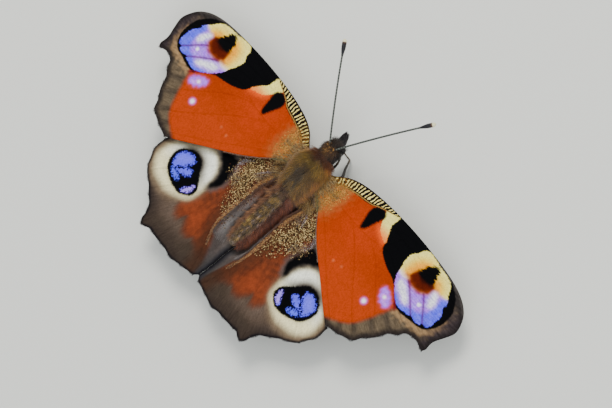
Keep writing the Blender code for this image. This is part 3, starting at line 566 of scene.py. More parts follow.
def ring_faces(rings, sides):
    """Faces of the wall between rings of points that follow each other."""
    faces = []
    for k in range(rings - 1):
        for j in range(sides):
            n = (j + 1) % sides
            faces.append((k * sides + j, k * sides + n, (k + 1) * sides + n, (k + 1) * sides + j))
    return faces


class Shader:
    """A Principled material with short names for the nodes that the finishes share."""

    def __init__(self, name, roughness, specular=0.3):
        self.material = bpy.data.materials.new(name)
        self.material.use_nodes = True
        self.tree = self.material.node_tree
        self.surface = self.tree.nodes["Principled BSDF"]
        self.surface.inputs["Roughness"].default_value = roughness
        self.surface.inputs["Specular IOR Level"].default_value = specular

    def node(self, kind, **values):
        made = self.tree.nodes.new(kind)
        for key, value in values.items():
            setattr(made, key, value)
        return made

    def link(self, source, target):
        self.tree.links.new(source, target)

    def feed(self, socket, value):
        if isinstance(value, bpy.types.NodeSocket):
            self.link(value, socket)
        elif isinstance(value, (int, float)):
            socket.default_value = value
        else:
            socket.default_value = (*value, 1.0) if len(socket.default_value) == 4 else tuple(value)

    def attribute(self, name, output="Fac"):
        return self.node("ShaderNodeAttribute", attribute_name=name).outputs[output]

    def math(self, operation, *values):
        made = self.node("ShaderNodeMath", operation=operation)
        for socket, value in zip(made.inputs, values):
            self.feed(socket, value)
        return made.outputs[0]

    def mix(self, share, a, b, mode="MIX"):
        made = self.node("ShaderNodeMix", data_type="RGBA", blend_type=mode)
        self.feed(made.inputs[0], share)
        self.feed(made.inputs[6], a)
        self.feed(made.inputs[7], b)
        return made.outputs[2]

    def stretched(self, vector, scale):
        made = self.node("ShaderNodeVectorMath", operation="MULTIPLY")
        self.feed(made.inputs[0], vector)
        made.inputs[1].default_value = scale
        return made.outputs[0]

    def cells(self, vector, scale, randomness=1.0):
        """Random cells, like scales: each one's random number, and the distance from its middle."""
        made = self.node("ShaderNodeTexVoronoi", voronoi_dimensions="3D")
        self.feed(made.inputs["Vector"], vector)
        made.inputs["Scale"].default_value = scale
        made.inputs["Randomness"].default_value = randomness
        split = self.node("ShaderNodeSeparateColor")
        self.link(made.outputs["Color"], split.inputs[0])
        return split.outputs[0], split.outputs[1], made.outputs["Distance"]

    def noise(self, vector, scale, detail=2.0):
        made = self.node("ShaderNodeTexNoise")
        self.feed(made.inputs["Vector"], vector)
        made.inputs["Scale"].default_value = scale
        made.inputs["Detail"].default_value = detail
        return made.outputs["Fac"]

    def ramp(self, value, stops, smooth=True):
        made = self.node("ShaderNodeValToRGB")
        made.color_ramp.interpolation = "LINEAR" if smooth else "CONSTANT"
        for k, (at, colour) in enumerate(stops):
            element = made.color_ramp.elements[k] if k < 2 else made.color_ramp.elements.new(at)
            element.position = at
            element.color = (*colour, 1.0)
        self.link(value, made.inputs[0])
        return made.outputs[0]

    def mask(self, depth, width, jitter=0.0, cell=None):
        """1 inside a mark and 0 outside it, with an edge that breaks up from scale to scale."""
        if cell is not None:
            depth = self.math("ADD", depth, self.math("MULTIPLY_ADD", cell, jitter, -0.5 * jitter))
        made = self.node("ShaderNodeMapRange", interpolation_type="SMOOTHSTEP")
        self.feed(made.inputs["Value"], depth)
        made.inputs["From Min"].default_value = -width
        made.inputs["From Max"].default_value = width
        return made.outputs["Result"]

    def bump(self, height, distance, strength=1.0):
        made = self.node("ShaderNodeBump")
        self.feed(made.inputs["Height"], height)
        made.inputs["Distance"].default_value = distance * MM
        made.inputs["Strength"].default_value = strength
        self.link(made.outputs[0], self.surface.inputs["Normal"])

    def finish(self, colour):
        self.feed(self.surface.inputs["Base Color"], colour)
        return self.material


def scaled_finish(shader, colour, plan, cell, middle, grain, streaks):
    """The last touch of every wing face: each scale a little lighter or darker, and a fine tiled relief."""
    vein = shader.mask(shader.attribute("vein"), 0.05)
    colour = shader.mix(shader.math("MULTIPLY", vein, 0.12), colour, (0.25, 0.2, 0.2), "MULTIPLY")
    cloud = shader.noise(plan, 0.9, 3.0)
    shade = shader.math("MULTIPLY_ADD", cell, 0.26, 0.87)
    shade = shader.math("MULTIPLY", shade, shader.math("MULTIPLY_ADD", cloud, 0.22, 0.89))
    streak = shader.math("MULTIPLY_ADD", shader.math("SUBTRACT", grain, 0.5), streaks, 1.0)
    shade = shader.math("MULTIPLY", shade, streak)
    grey = shader.node("ShaderNodeCombineColor")
    for socket in grey.inputs:
        shader.link(shade, socket)
    colour = shader.mix(1.0, colour, grey.outputs[0], "MULTIPLY")
    shader.bump(middle, 0.02, 0.6)
    return shader.finish(colour)


def speckle(shader, colour, plan, tints):
    """Dark, rust and gold scales mingled near the body."""
    cell, other, _ = shader.cells(shader.stretched(plan, (1.0, 0.8, 1.0)), 10.5)
    stops = [(k / len(tints), tint) for k, tint in enumerate(tints)]
    mingled = shader.ramp(cell, stops, smooth=False)
    return shader.mix(shader.mask(shader.attribute("fuzz"), 0.2, 2.8, other), colour, mingled)


def wing_shader(name, roughness, specular):
    """A wing's shader with its plan, its scales' random numbers and middles, and its grain."""
    shader = Shader(name, roughness, specular)
    plan = shader.attribute("plan", "Vector")
    cell, other, middle = shader.cells(shader.stretched(plan, (1.0, 0.62, 1.0)), 9.0, 0.7)
    grain = shader.noise(shader.attribute("grain_plan", "Vector"), 5.0, 2.0)
    return shader, plan, cell, other, middle, grain


def forewing_material():
    shader, plan, cell, other, middle, grain = wing_shader("forewing_scales", 0.8, 0.04)
    uneven = shader.math("SUBTRACT", grain, 0.5)
    colour = shader.attribute("wash", "Color")
    # The dark patch and rim run on under the pale marks, and the wedge and the pupil lie over them
    colour = shader.mix(shader.mask(shader.attribute("black"), 0.10, 0.10, other), colour, BLACK)
    light = shader.math("MULTIPLY_ADD", uneven, 0.3, shader.attribute("light"))
    mottle = shader.math("MULTIPLY_ADD", shader.noise(plan, 3.2, 2.0), 0.5,
                         shader.math("MULTIPLY", grain, 0.5))
    glaze = shader.ramp(mottle, [(0.36, (0.66, 0.6, 0.84)), (0.62, (1.12, 1.14, 1.06))])
    iris = shader.attribute("iris", "Color")
    iris = shader.mix(shader.attribute("glaze"), iris, shader.mix(1.0, iris, glaze, "MULTIPLY"))
    colour = shader.mix(shader.mask(light, 0.10, 0.12, cell), colour, iris)
    pupil = shader.math("MULTIPLY_ADD", uneven, shader.attribute("feather"), shader.attribute("pupil"))
    colour = shader.mix(shader.mask(pupil, 0.22, 0.10, other), colour, BLACK)
    # The checkered band along the leading edge
    across = shader.attribute("band_across")
    wander = shader.noise(plan, 1.1, 1.0)
    turns = shader.math("MULTIPLY_ADD", across, CHECKER_SLANT, shader.attribute("band_along"))
    turns = shader.math("MULTIPLY_ADD", wander, 0.62, turns)
    wave = shader.math("SINE", shader.math("MULTIPLY", turns, 2.0 * math.pi / CHECKER_PERIOD))
    bars = shader.mask(shader.math("MULTIPLY_ADD", cell, 0.7, shader.math("SUBTRACT", wave, 0.80)), 0.34)
    checkered = shader.mix(bars, rgb(14, 12, 20), rgb(232, 220, 156))
    rims = shader.ramp(across, [(0.0, (0.0,) * 3), (0.12, (1.0,) * 3), (0.78, (0.0,) * 3),
                                (0.86, (2.0,) * 3), (0.95, (0.0,) * 3)], smooth=False)
    # 0 is a dark line, 1 lets the bars through and 2 is the pale line inside them
    show = shader.math("MINIMUM", rims, 1.0)
    checkered = shader.mix(show, rgb(24, 18, 22), checkered)
    checkered = shader.mix(shader.math("SUBTRACT", rims, show), checkered, rgb(176, 142, 76))
    gold = shader.math("MULTIPLY", shader.attribute("gold"), 0.8)
    checkered = shader.mix(shader.math("MULTIPLY", gold, other), checkered, rgb(150, 112, 44))
    colour = shader.mix(shader.mask(shader.attribute("band"), 0.05, 0.08, other), colour, checkered)
    tints = [rgb(104, 76, 40), rgb(150, 114, 56), rgb(180, 140, 70), rgb(200, 164, 92), rgb(182, 118, 52)]
    return scaled_finish(shader, speckle(shader, colour, plan, tints), plan, cell, middle, grain,
                         shader.math("MULTIPLY_ADD", shader.attribute("rough"), 1.1, 0.2))


def hindwing_material():
    shader, plan, cell, other, middle, grain = wing_shader("hindwing_scales", 0.8, 0.04)
    colour = shader.attribute("wash", "Color")
    colour = shader.mix(shader.mask(shader.attribute("black"), 0.16, 0.14, other), colour, BLACK)
    blue = shader.attribute("blue")
    colour = shader.mix(shader.mask(shader.math("ADD", blue, 0.16), 0.10, 0.3, cell), colour, NAVY)
    colour = shader.mix(shader.mask(blue, 0.08, 0.5, other), colour, shader.attribute("iris", "Color"))
    tints = [rgb(34, 24, 18), rgb(60, 44, 32), rgb(106, 62, 36), rgb(128, 104, 68), rgb(206, 188, 142)]
    return scaled_finish(shader, speckle(shader, colour, plan, tints), plan, cell, middle, grain,
                         shader.math("MULTIPLY_ADD", shader.attribute("rough"), 0.5, 0.3))


def underside_material():
    """The dark underside, crossed by fine wavy lines, which hides the insect when its wings are shut."""
    shader, plan, cell, other, middle, grain = wing_shader("underside_scales", 0.75, 0.08)
    lines = shader.node("ShaderNodeTexWave", wave_type="BANDS", bands_direction="X")
    shader.link(plan, lines.inputs["Vector"])
    for name, value in (("Scale", 0.42), ("Distortion", 9.0), ("Detail", 3.0), ("Detail Scale", 0.9)):
        lines.inputs[name].default_value = value
    colour = shader.ramp(lines.outputs["Fac"], [(0.0, rgb(15, 13, 14)), (0.55, rgb(40, 34, 31)),
                                                (1.0, rgb(84, 72, 62))])
    broad = shader.noise(plan, 0.16, 2.0)
    colour = shader.mix(shader.ramp(broad, [(0.42, (0.0,) * 3), (0.62, (0.8,) * 3)]), colour, rgb(20, 17, 18))
    colour = shader.mix(shader.mask(shader.attribute("pale_dot"), 0.05, 0.1, other), colour,
                        rgb(190, 180, 160))
    return scaled_finish(shader, colour, plan, cell, middle, grain, 0.4)


def coat_material():
    """Hair and hair-scales: the colour is each one's own, darker at its root."""
    shader = Shader("coat", 0.55, 0.35)
    shader.surface.inputs["Sheen Weight"].default_value = 0.12
    shader.surface.inputs["Sheen Roughness"].default_value = 0.4
    return shader.finish(shader.attribute("tint", "Color"))


def skin_material():
    shader = Shader("skin", 0.7, 0.3)
    plan = shader.attribute("skin_plan", "Vector")
    cell, _, middle = shader.cells(shader.stretched(plan, (1.0, 0.4, 1.0)), 9.0)
    grey = shader.ramp(cell, [(0.0, (0.55,) * 3), (1.0, (1.0,) * 3)])
    shader.bump(middle, 0.03, 0.8)
    return shader.finish(shader.mix(1.0, shader.attribute("tint", "Color"), grey, "MULTIPLY"))


def eye_material():
    """Dark glossy eye of many facets, with cloudy brown patches."""
    shader = Shader("eye", 0.35, 0.18)
    plan = shader.attribute("eye_plan", "Vector")
    cell, _, middle = shader.cells(plan, 17.0, 0.25)
    cloud = shader.noise(plan, 1.8, 2.0)
    colour = shader.ramp(cloud, [(0.35, rgb(14, 10, 10)), (0.52, rgb(36, 24, 18)), (0.7, rgb(18, 13, 13))])
    shader.bump(shader.math("SUBTRACT", 1.0, middle), 0.02, 0.8)
    return shader.finish(shader.mix(shader.math("MULTIPLY", cell, 0.25), colour, rgb(60, 42, 30)))


def horn_material(name, roughness):
    """Feelers, legs and tongue: the colour is painted point by point, with a fine scaly relief."""
    shader = Shader(name, roughness, 0.4)
    plan = shader.attribute("tube_plan", "Vector")
    cell, _, middle = shader.cells(shader.stretched(plan, (1.0, 1.0, 0.5)), 12.0)
    grey = shader.ramp(cell, [(0.0, (0.7,) * 3), (1.0, (1.0,) * 3)])
    shader.bump(middle, 0.015, 0.5)
    return shader.finish(shader.mix(1.0, shader.attribute("tint", "Color"), grey, "MULTIPLY"))


def from_veins(at, veins, *names):
    """Distance from each point to the nearest of the named veins, or of them all."""
    lines = [spline(veins[name], VEIN_STEP) for name in names or veins]
    return np.minimum.reduce([distance_to(at, line)[0] for line in lines])


def forewing_paint(at, edge_away):
    """Soft colours and the depths of the sharp marks at each point of the forewing's plan."""
    x, y = at[:, 0], at[:, 1]
    wave = ripple(at, 0.9, 3)
    fine = ripple(at, 4.5, 4)
    wash = np.tile(ORANGE, (len(at), 1))
    wash = layered(
        wash,
        (ORANGE_BRIGHT, 0.75 * np.exp(-((x - 12.5) ** 2 + (y + 0.5) ** 2) / 22.0)),
        (ORANGE_LOW, 0.9 * smoothstep(-2.0, -7.0, y) + 0.12 * fine.clip(0.0, 1.0)),
        (rgb(190, 142, 74), 0.85 * soft(depth_in(at, FOREWING_FUZZ) + 0.2 + 0.8 * wave + 0.4 * fine, 2.3)))
    # A soft orange glow where the cream patch melts into the orange
    cream = depth_in(at, CREAM_PATCH)
    wash = blend(wash, rgb(232, 112, 24), 0.8 * soft(cream + 0.45, 0.6) * smoothstep(3.2, 1.6, y))
    lilac_spot = depth_in(at, LILAC_SPOT)
    wash = layered(
        wash,
        (rgb(206, 92, 84), 0.6 * soft(lilac_spot + 0.45, 0.3)),
        (LILAC, soft(lilac_spot + 0.08 + 0.14 * fine, 0.32)),
        (rgb(222, 178, 252), 0.8 * (0.3 + fine).clip(0.0, 1.0) * soft(lilac_spot - 0.25, 0.3)))
    for (cx, cy), size in WHITE_DOTS:
        away = np.hypot(x - cx, y - cy)
        wash = blend(wash, rgb(226, 150, 226), 0.7 * smoothstep(size * 1.8, size * 0.8, away))
        wash = blend(wash, WHITE, smoothstep(size * 1.1, size * 0.4, away))
    for (cx, cy), size in SMALL_DOTS:
        away = np.hypot(x - cx, y - cy)
        wash = blend(wash, rgb(220, 140, 90), 0.45 * smoothstep(size * 1.8, size * 0.6, away))
    # The brown margin: tan beside the eyespot's dark rim, grey in the middle, near black at the edge
    margin, along = depth_past(at, MARGIN_INNER, MARGIN_OUTSIDE)
    streak = np.sin(along * 6.0 + 2.5 * wave) * 0.5 + 0.5 * fine
    brown = np.tile(rgb(98, 85, 70), (len(at), 1))
    brown = blend(brown, rgb(58, 48, 42), 0.7 * streak.clip(0.0, 1.0))
    tongues = np.abs(np.sin(along * math.pi / SCALLOP + 0.4 * wave))
    brown = blend(brown, rgb(140, 122, 96), 0.5 * soft(tongues - 0.5, 0.4) * smoothstep(0.3, 1.0, edge_away))
    gold_away, _ = distance_to(at, spline(GOLD_BAND, LINE_STEP))
    brown = layered(
        brown,
        (rgb(176, 148, 108), 0.9 * smoothstep(0.85, 0.05, gold_away + 0.35 * fine)),
        (rgb(62, 52, 60), 0.8 * smoothstep(28.8, 31.0, x + 0.4 * fine)),
        (rgb(46, 40, 40), 0.85 * smoothstep(0.95, 0.15, edge_away + 0.12 * fine)))
    wash = blend(wash, rgb(130, 64, 30), 0.4 * soft(margin + 0.3, 0.3))
    wash = blend(wash, brown, soft(margin + 0.05 * fine, 0.34))
    from_edge, band_along = distance_to(at, spline(FOREWING_LEADING, LINE_STEP))
    wash = blend(wash, rgb(60, 54, 52), smoothstep(20.5, 21.5, x) * smoothstep(2.0, 3.0, y))
    costal = smoothstep(0.40, 0.20, from_edge) * smoothstep(2.0, 3.0, y)
    wash = blend(wash, mix(rgb(30, 26, 28), rgb(84, 78, 74), smoothstep(14.0, 24.0, x)[:, None]), costal)

    iris = np.tile(CREAM, (len(at), 1))
    iris = layered(
        iris,
        (rgb(246, 150, 60), 0.9 * smoothstep(3.2, 1.3, y) * smoothstep(17.0, 16.0, x)),
        (rgb(255, 212, 92), soft(depth_in(at, YOLK) + 0.75, 0.8)),
        (rgb(255, 182, 36), 0.9 * soft(depth_in(at, YOLK) + 0.05 + 0.16 * fine, 0.55)))
    lilac = depth_in(at, LILAC_HALF) + 0.10 * fine
    iris = layered(
        iris,
        (rgb(226, 216, 246), 0.9 * soft(lilac + 0.35, 0.5) * smoothstep(23.0, 21.5, x)),
        (LILAC, soft(lilac, 0.38)),
        (rgb(206, 170, 250), 0.6 * (0.5 + fine).clip(0.0, 1.0) * soft(lilac - 0.3, 0.3)),
        (BLUE, 0.95 * soft(depth_in(at, BLUE_RIM) + 0.16 * fine, 0.42)),
        (rgb(160, 150, 250), 0.5 * (fine - 0.1).clip(0.0, 1.0) * soft(lilac - 0.3, 0.3)))
    ember = depth_in(at, EMBER) + 0.16 * fine
    iris = layered(
        iris,
        (rgb(176, 60, 60), 0.7 * soft(ember + 0.3, 0.35) * smoothstep(1.2, 0.2, y)),
        (rgb(158, 62, 14), soft(ember, 0.35)),
        (rgb(96, 26, 10), 0.9 * soft(ember - 0.35, 0.45)),
        (rgb(24, 9, 8), soft(depth_in(at, PUPIL) + 0.3 + 0.12 * fine, 0.45) * soft(ember + 0.2, 0.3)),
        (WHITE_RIM, 0.8 * soft(depth_in(at, WHITE_STREAK) + 0.4, 0.4)),
        (WHITE, 0.95 * soft(depth_in(at, WHITE_STREAK) + 0.08 + 0.08 * fine, 0.25)),
        (WHITE_RIM, 0.8 * soft(depth_in(at, WHITE_PATCH) + 0.35, 0.35)),
        (WHITE, 0.95 * soft(depth_in(at, WHITE_PATCH) + 0.05 + 0.08 * fine, 0.25)))
    spot = np.hypot(x - 26.1, y + 1.05)
    iris = blend(iris, WHITE, 0.95 * smoothstep(0.42, 0.15, spot))
    for name in ("median_1", "median_2"):
        line = from_veins(at, FOREWING_VEINS, name)
        iris = blend(iris, rgb(126, 40, 96), 0.75 * smoothstep(0.22, 0.04, line) * soft(lilac + 0.1, 0.3))
    wine = from_veins(at, FOREWING_VEINS, "median_3")
    between = smoothstep(20.5, 21.2, x) * smoothstep(24.6, 24.1, x)
    wash = blend(wash, rgb(146, 36, 44), between * smoothstep(0.30, 0.12, wine))

    # The blue ends of the eyespot bulge out between the veins
    eyespot = depth_in(at, EYESPOT)
    notch = from_veins(at, FOREWING_VEINS, "median_1", "median_2", "radius_5")
    light = eyespot - 0.32 * np.exp(-(notch / 0.3) ** 2) * soft(depth_in(at, BLUE_RIM), 0.4) + 0.06
    light = np.maximum(cream, light)
    light = np.minimum(light, edge_away - 0.12 - 0.18 * smoothstep(22.0, 24.0, x))
    black = np.maximum(depth_in(at, BLACK_PATCH), np.maximum(depth_in(at, CRESCENT), eyespot))
    black = np.minimum(black, wine - 0.10 + 2.0 * smoothstep(21.0, 20.3, x))
    band, _ = depth_past(at, CHECKER_INNER, CHECKER_OUTSIDE)
    band_across = from_edge / np.maximum(from_edge + np.abs(band), 1e-6)
    band = np.minimum(band, np.minimum(x - CHECKER_START, (CHECKER_END - x) * 0.7))
    return {
        "wash": wash, "iris": iris, "light": light, "black": black, "band": band, "glaze": soft(lilac, 0.4),
        "rough": soft(margin, 0.3),
        "pupil": np.maximum(depth_in(at, WEDGE), depth_in(at, PUPIL)),
        "feather": mix(0.3, 1.1, smoothstep(16.0, 20.0, x)),
        "band_along": band_along, "band_across": band_across, "gold": smoothstep(7.5, 3.0, x),
        "fuzz": depth_in(at, FOREWING_FUZZ) + 0.7 * wave - 0.5,
        "vein": VEIN_SHADE - from_veins(at, FOREWING_VEINS),
        "pale_dot": PALE_DOT_SIZE - np.hypot(x - 15.8, y - 0.8),
    }


def hindwing_paint(at, edge_away):
    """Soft colours and the depths of the sharp marks at each point of the hindwing's plan."""
    x, y = at[:, 0], at[:, 1]
    wave = ripple(at, 1.1, 13)
    fine = ripple(at, 5.0, 14)
    veins = from_veins(at, HINDWING_VEINS)
    from_root = np.arctan2(x - 2.0, -3.0 - y)
    rays = np.sin(from_root * 34.0 + 2.0 * wave) * 0.6 + np.sin(from_root * 71.0 + 3.0 * wave) * 0.4
    wash = np.tile(MARGIN_BROWN, (len(at), 1))
    wash = layered(
        wash,
        (rgb(132, 114, 100), 0.7 * (0.5 + 0.5 * wave)),
        (rgb(52, 45, 44), 0.85 * smoothstep(2.3, 0.2, edge_away + 0.5 * wave)),
        (rgb(118, 100, 84), smoothstep(-6.0, -3.0, y - 0.25 * x)))
    rust = depth_in(at, RUST) + 0.45 * wave + 0.32 * rays - 0.3 * smoothstep(0.5, 0.1, veins)
    wash = layered(
        wash,
        (RUST_DEEP, 0.8 * soft(rust + 0.7, 0.9)),
        (RUST_RED, 0.9 * soft(rust + 0.1, 1.1)),
        (rgb(84, 48, 34), 0.6 * (0.4 + 0.6 * rays + 0.6 * fine).clip(0.0, 1.0) * soft(rust, 0.6)),
        (rgb(172, 82, 46), 0.5 * np.exp(-((x - 6.8) ** 2 + (y + 17.4) ** 2) / 5.0) * soft(rust, 0.6)),
        (rgb(96, 56, 38),
         0.5 * (0.5 + 0.8 * wave).clip(0.0, 1.0) * smoothstep(-14.0, -10.0, y) * soft(rust, 0.6)),
        (rgb(76, 64, 54), 0.75 * smoothstep(-18.2, -21.2, y + 0.8 * wave + 0.1 * x)),
        (rgb(64, 52, 46),
         0.7 * (0.3 + 0.9 * wave).clip(0.0, 1.0) * smoothstep(4.5, 1.5, edge_away)
         * smoothstep(-18.0, -20.0, y)),
        (rgb(84, 54, 38), 0.7 * smoothstep(2.2, 0.2, np.abs(x - crest_x(y) - 0.6))))
    # Grey-blue inner field beside the abdomen, and the dark line behind it
    inward = smoothstep(0.1, 0.7, crest_x(y) - x)
    grey = mix(rgb(158, 140, 124), rgb(176, 174, 172), (0.5 + 0.5 * wave).clip(0.0, 1.0)[:, None])
    grey = mix(rgb(168, 122, 92), grey, smoothstep(-6.5, -10.0, y)[:, None])
    grey = mix(grey, rgb(92, 84, 80), 0.9 * smoothstep(-13.5, -17.5, y + 0.5 * wave)[:, None])
    wash = blend(wash, grey, 0.95 * inward * smoothstep(-4.5, -6.0, y))
    wash = blend(wash, rgb(50, 52, 58), 0.85 * smoothstep(1.3, 0.3, x) * smoothstep(-15.0, -17.0, y))
    ring = depth_in(at, RING) + 0.10 * fine
    core = depth_in(at, RING_CORE)
    wash = layered(
        wash,
        (rgb(166, 146, 118), 0.8 * soft(ring + 0.35 + 0.1 * rays, 1.0)),
        (rgb(252, 230, 200), soft(core + 0.25 + 0.1 * rays, 0.8)),
        (rgb(252, 238, 226), soft(core + 0.1, 0.5) * smoothstep(-15.5, -12.0, y)))
    eye = depth_in(at, EYE_BLACK)
    # Painted shade on the pale ring: a grey-brown band round the black eye, darkest next to it and strongest
    # on the front side
    front = smoothstep(-13.6, -11.4, y - 0.25 * (x - 13.0))
    wash = blend(wash, rgb(128, 114, 100), 0.85 * soft(eye + 0.75, 0.7) * mix(0.1, 1.0, front))
    wash = blend(wash, rgb(52, 46, 44), 0.9 * soft(eye + 0.25, 0.4) * mix(0.2, 1.0, front))
    patch = depth_in(at, FRONT_PATCH) + 0.12 * fine
    wash = layered(
        wash,
        (rgb(110, 104, 100), 0.7 * soft(patch + 0.35, 0.4)),
        (BLACK, soft(patch - 0.1 + 0.08 * rays, 0.4)),
        (rgb(26, 24, 30),
         0.85 * smoothstep(0.45, 0.10, edge_away + 0.06 * fine) * smoothstep(-12.0, -13.0, y - 0.05 * x)))

    blue = np.maximum.reduce([depth_in(at, shape) for shape in (BLUE_BIG, BLUE_MIDDLE, BLUE_LOW)])
    blue = np.maximum(blue, depth_in(at, BLUE_CORNER) - 0.1)
    blue = np.minimum(blue, from_veins(at, HINDWING_VEINS, "median_1") - 0.12)
    ragged = 0.22 * np.clip(ripple(at, 9.0, 15), 0.0, 1.0)
    blue = blue - ragged * smoothstep(14.6, 13.8, x) * smoothstep(11.8, 12.2, x)
    iris = np.tile(rgb(118, 118, 246), (len(at), 1))
    iris = layered(
        iris,
        (rgb(140, 138, 255), 0.7 * soft(depth_in(at, BLUE_BIG) - 0.5, 0.5)),
        (rgb(192, 168, 252), 0.8 * smoothstep(12.0, 11.2, x)),
        (rgb(104, 124, 240), 0.6 * smoothstep(-14.4, -15.2, y) * smoothstep(12.5, 13.5, x)))
    fuzz = np.minimum(depth_in(at, HINDWING_FUZZ) + 0.9 * wave - 0.4, 2.0 * (x - crest_x(y)) + 0.4)
    return {
        "wash": wash, "iris": iris, "black": eye + 0.04 * fine, "blue": blue, "fuzz": fuzz,
        "rough": soft(-rust, 0.6) * soft(-ring, 0.4),
        "vein": VEIN_SHADE - veins, "pale_dot": PALE_DOT_SIZE - np.hypot(x - 10.0, y + 11.0),
    }


def relief(at, veins):
    """How far the upper face rises over the sheet: thin veins in the bottom of shallow valleys."""
    away = from_veins(at, veins)
    ridge = (VEIN_RISE + VEIN_VALLEY * 0.6) * np.exp(-(away / (0.7 * VEIN_FOOT)) ** 2)
    return ridge - VEIN_VALLEY * np.exp(-(away / VEIN_VALLEY_REACH) ** 2)


def wing(name, outline, veins, height, paint, material, side, fan):
    """A thin closed wing: two faces over one plan, joined round the edge, with grain from the fan point."""
    verts, faces = plan_of(outline, veins.values())
    edge_away, _ = distance_to(verts, np.vstack([outline, outline[:1]]))
    normal = normals_of(height, verts[:, 0], verts[:, 1])
    middle = np.column_stack([verts, height(verts[:, 0], verts[:, 1])])
    half = mix(EDGE_HALF, SHEET_HALF, smoothstep(0.0, EDGE_REACH, edge_away))
    rise = relief(verts, veins) * smoothstep(0.0, EDGE_REACH, edge_away)
    swell = 0.06 * ripple(verts, 0.8, 21) * smoothstep(0.0, 3.0, edge_away)
    top = middle + normal * (half + rise + swell)[:, None]
    bottom = middle - normal * (half - 0.8 * rise - swell)[:, None]
    ends = np.sort(np.vstack([faces[:, (0, 1)], faces[:, (1, 2)], faces[:, (2, 0)]]), axis=1)
    pairs, counts = np.unique(ends, axis=0, return_counts=True)
    rim = {tuple(pair) for pair in pairs[counts == 1]}
    count = len(verts)
    triangles = [tuple(f) for f in faces] + [tuple(f[::-1] + count) for f in faces]
    walls = []
    for f in faces:
        for a, b in ((f[0], f[1]), (f[1], f[2]), (f[2], f[0])):
            if (min(a, b), max(a, b)) in rim:
                walls.append((b, a, a + count, b + count))
    points = np.vstack([top, bottom])
    points[:, 0] *= side
    shapes = triangles + walls
    if side < 0:
        shapes = [tuple(reversed(s)) for s in shapes]
    thing = place(name, points, shapes, [material, UNDERSIDE])
    slots = np.zeros(len(shapes), np.int32)
    slots[len(faces):len(triangles)] = 1
    thing.data.polygons.foreach_set("material_index", slots)
    marks = paint(verts, edge_away)
    for key, values in marks.items():
        write_values(thing, key, np.concatenate([values, values]))
    plan = np.column_stack([verts[:, 0] * side, verts[:, 1], np.zeros(count)])
    write_values(thing, "plan", np.vstack([plan, plan + (0.0, 0.0, 7.0)]))
    spoke = verts - fan
    grain = np.column_stack([np.arctan2(spoke[:, 1], spoke[:, 0]) * 20.0,
                             np.linalg.norm(spoke, axis=1) * 0.12, np.zeros(count)])
    write_values(thing, "grain_plan", np.vstack([grain, grain + (0.0, 0.0, 7.0)]))
    # The bake map: the upper face in the lower half of the square, and the underside above it
    low, high = verts.min(0), verts.max(0)
    flat = (verts - low) / (high - low) * (0.96, 0.46) + (0.02, 0.02)
    centre = flat.mean(0)
    uv = np.vstack([flat, flat + (0.0, 0.5)])[loop_vertices(thing)]
    wall_loops = np.arange(3 * len(triangles), len(uv))
    owner = loop_vertices(thing)[wall_loops]
    outward = flat[owner % count] - centre
    outward /= np.linalg.norm(outward, axis=1)[:, None]
    uv[wall_loops] = flat[owner % count] + outward * np.where(owner >= count, 0.004, 0.0)[:, None]
    write_uv(thing, uv)
    return thing


def coat(name, roots, lie, normal, length, width, tint, tip_tint, uv, lift=0.35, rings=3):
    """Many tapered blades, each a closed three-sided spine from its root along its lie."""
    count = len(roots)
    lie = lie - normal * np.sum(lie * normal, axis=1)[:, None]
    lie /= np.linalg.norm(lie, axis=1)[:, None]
    across = np.cross(lie, normal)
    lift = np.broadcast_to(lift, count)
    verts, colours = [], []
    for k in range(rings):
        t = k / rings
        # The blade leaves the skin steeply and then bends down along its lie
        along = lie * (length * (t * 0.9 + 0.1 * t * t))[:, None]
        up = normal * (length * lift * (t - 0.45 * t * t) - 0.06)[:, None]
        centre = roots + along + up
        wide = (width * (1.0 - 0.25 * t - 0.45 * t * t) * 0.5)[:, None]
        verts += [centre - across * wide, centre + across * wide, centre + normal * wide * 0.7]
        colours += [mix(tint * 0.55, tip_tint, t)] * 3
    tip = roots + lie * length[:, None] + normal * (length * lift * 0.55 - 0.06)[:, None]
    verts.append(tip)
    colours.append(tip_tint)
    per = 3 * rings + 1
    points = np.stack(verts, axis=1).reshape(-1, 3)
    colours = np.stack(colours, axis=1).reshape(-1, 3)
    one = [(0, 2, 1)]
    for k in range(rings - 1):
        low, high = 3 * k, 3 * k + 3
        one += [(low + a, low + b, high + b, high + a) for a, b in ((0, 1), (1, 2), (2, 0))]
    last = 3 * rings - 3
    one += [(last + a, last + b, per - 1) for a, b in ((0, 1), (1, 2), (2, 0))]
    faces = [tuple(i + k * per for i in f) for k in range(count) for f in one]
    thing = place(name, points, faces, [COAT])
    write_values(thing, "tint", colours)
    patch = 0.0015
    local = np.array([(-patch + 2.0 * patch * (i // 3) / rings, (i % 3 - 1) * 0.8 * patch)
                      for i in range(per)])
    spread = (np.asarray(uv)[:, None, :] * 0.98 + 0.01 + local[None]).reshape(-1, 2)
    write_uv(thing, spread[loop_vertices(thing)])
    return thing


def station_values(y):
    """Half width, half height and middle of the skin at each y, read smoothly from its stations."""
    rows = np.array(SKIN)
    y = np.clip(y, rows[0, 0], rows[-1, 0])
    k = np.clip(np.searchsorted(rows[:, 0], y, side="right") - 1, 0, len(rows) - 2)
    before, here = rows[np.maximum(k - 1, 0)], rows[k]
    there, after = rows[k + 1], rows[np.minimum(k + 2, len(rows) - 1)]
    span = (there[:, 0] - here[:, 0])[:, None]
    t = ((y - here[:, 0]) / span[:, 0])[:, None]
    slope_a = (there - before) / (there[:, :1] - before[:, :1]) * span
    slope_b = (after - here) / (after[:, :1] - here[:, :1]) * span
    values = (2 * t ** 3 - 3 * t ** 2 + 1) * here + (t ** 3 - 2 * t ** 2 + t) * slope_a \
        + (3 * t ** 2 - 2 * t ** 3) * there + (t ** 3 - t ** 2) * slope_b
    return values[:, 1], values[:, 2], values[:, 3]


